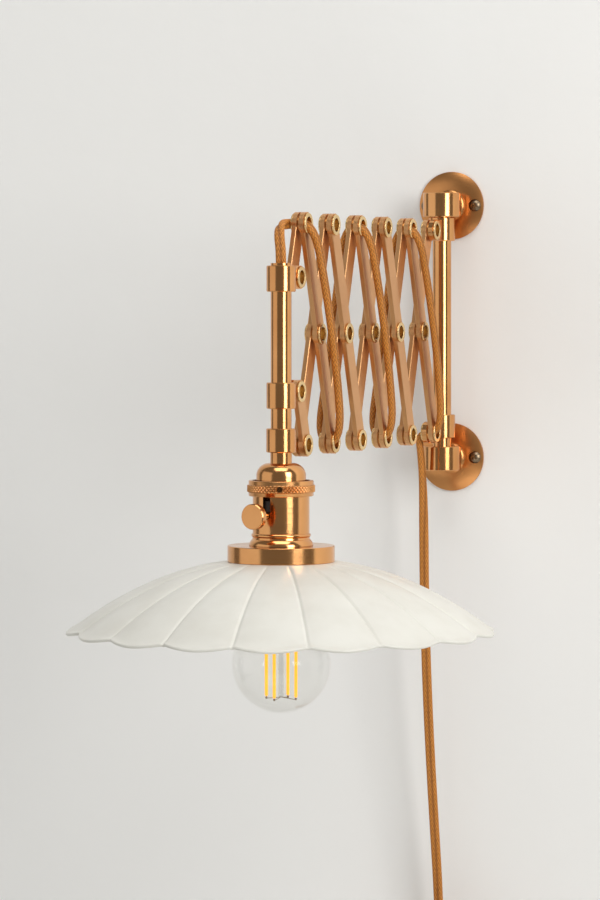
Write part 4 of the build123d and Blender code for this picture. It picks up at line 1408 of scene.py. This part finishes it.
@dataclass
class Studio:
    """Wall, floor, lamps and the camera."""

    azimuth: float = radians(22.6)
    distance: float = 2.450
    sideways: float = 0.0969
    rod_y: float = -0.020
    eye_height: float = -0.06485
    lens: float = 143.56
    sensor: float = 36.0
    drop: float = -150 / 900
    lights: tuple[SoftLight, ...] = (
        SoftLight("window", (1.75, -1.35, 0.45), (0.85, 1.5), 27.0, (1.0, 0.99, 0.98)),
        SoftLight("left_panel", (-1.9, -1.9, 0.1), (2.6, 2.4), 12.5, (1.0, 0.995, 0.985)),
        SoftLight("top_fill", (0.3, -1.0, 1.7), (1.6, 1.2), 17.0),
        SoftLight("low_fill", (0.2, -1.6, -1.3), (1.4, 1.0), 4.0, (1.0, 0.99, 0.97)),
    )

    def build(self) -> None:
        """Makes everything that isn't the lamp."""
        self.plane("wall", (0, 0.0004, 0), radians(90), (0.93, 0.93, 0.91))
        self.plane("floor", (0, -2.0, -1.5), 0.0, (0.78, 0.775, 0.76))
        self.camera()
        for light in self.lights:
            light.add()
        self.world()
        bpy.context.scene.view_settings.view_transform = "Standard"

    def camera(self) -> None:
        """Places the camera level, at the photograph's angle.

        It stands at the wall rod's place less distance times the way it looks, less sideways
        times its own right, and a lens shift puts the horizon a third of the way down.
        """
        ahead = np.array([-sin(self.azimuth), cos(self.azimuth), 0.0])
        right = np.array([cos(self.azimuth), sin(self.azimuth), 0.0])
        place = np.array([0.0, self.rod_y, 0.0]) - self.distance * ahead - self.sideways * right
        place[2] = self.eye_height
        data = bpy.data.cameras.new("camera")
        data.lens = self.lens
        data.sensor_width = self.sensor
        data.shift_y = self.drop
        data.clip_end = 50.0
        eye = place_in_scene("camera", data)
        look(eye, place, ahead)
        bpy.context.scene.camera = eye

    def plane(
        self, name: str, place: Point, tilt: float, colour: Colour, half: float = 2.6
    ) -> None:
        """A flat square stage surface that can be seen only from the lamp's side.

        Args:
            name: its name.
            place: its centre.
            tilt: its turn about X, in radians.
            colour: its colour.
            half: half its width.
        """
        x, y = half * np.array([(-1, -1), (1, -1), (1, 1), (-1, 1)]).T
        points = np.stack([x, y * cos(tilt), y * sin(tilt)], 1) + np.array(place)
        mesh = bpy.data.meshes.new(name)
        mesh.from_pydata(points, [], [[0, 1, 2, 3]])
        stage = place_in_scene(name, mesh)
        dress(stage, Paint(f"{name}_paint", colour).make())
        stage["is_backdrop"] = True

    def world(self) -> None:
        """A plain grey room; the camera and clear glass see it pale."""
        world = bpy.data.worlds.new("room")
        bpy.context.scene.world = world
        net = Net(world)
        seen = net.node("ShaderNodeLightPath", out="Is Camera Ray")
        through = net.node("ShaderNodeLightPath", out="Is Transmission Ray")
        grey = {"Color": (1.0, 0.98, 0.94), "Strength": 0.20}
        pale = {"Color": (0.86, 0.86, 0.85), "Strength": 1.0}
        rooms = [net.node("ShaderNodeBackground", None, values) for values in (grey, pale)]
        net.close(net.blend(seen.math("MAXIMUM", through), *rooms), "ShaderNodeOutputWorld")


def corners() -> list[list[float]]:
    """The shown object's lowest and highest corners as plain lists."""
    return [[float(v) for v in corner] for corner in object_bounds()]


def main() -> None:
    """Loads the frame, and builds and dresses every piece."""
    logging.basicConfig(level=logging.INFO, format="%(message)s")
    for thing in list(bpy.data.objects):
        bpy.data.objects.remove(thing)
    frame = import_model()
    low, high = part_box("lamp_tube")
    shop = Workshop(frame["nodes"], float(low[1] + high[1]) / 2)
    Studio().build()
    for group in (WallSide, ScissorArm, LampHead, PetalShade, GlobeBulb, BraidedCord):
        group().build(shop)


if __name__ == "__main__":
    main()
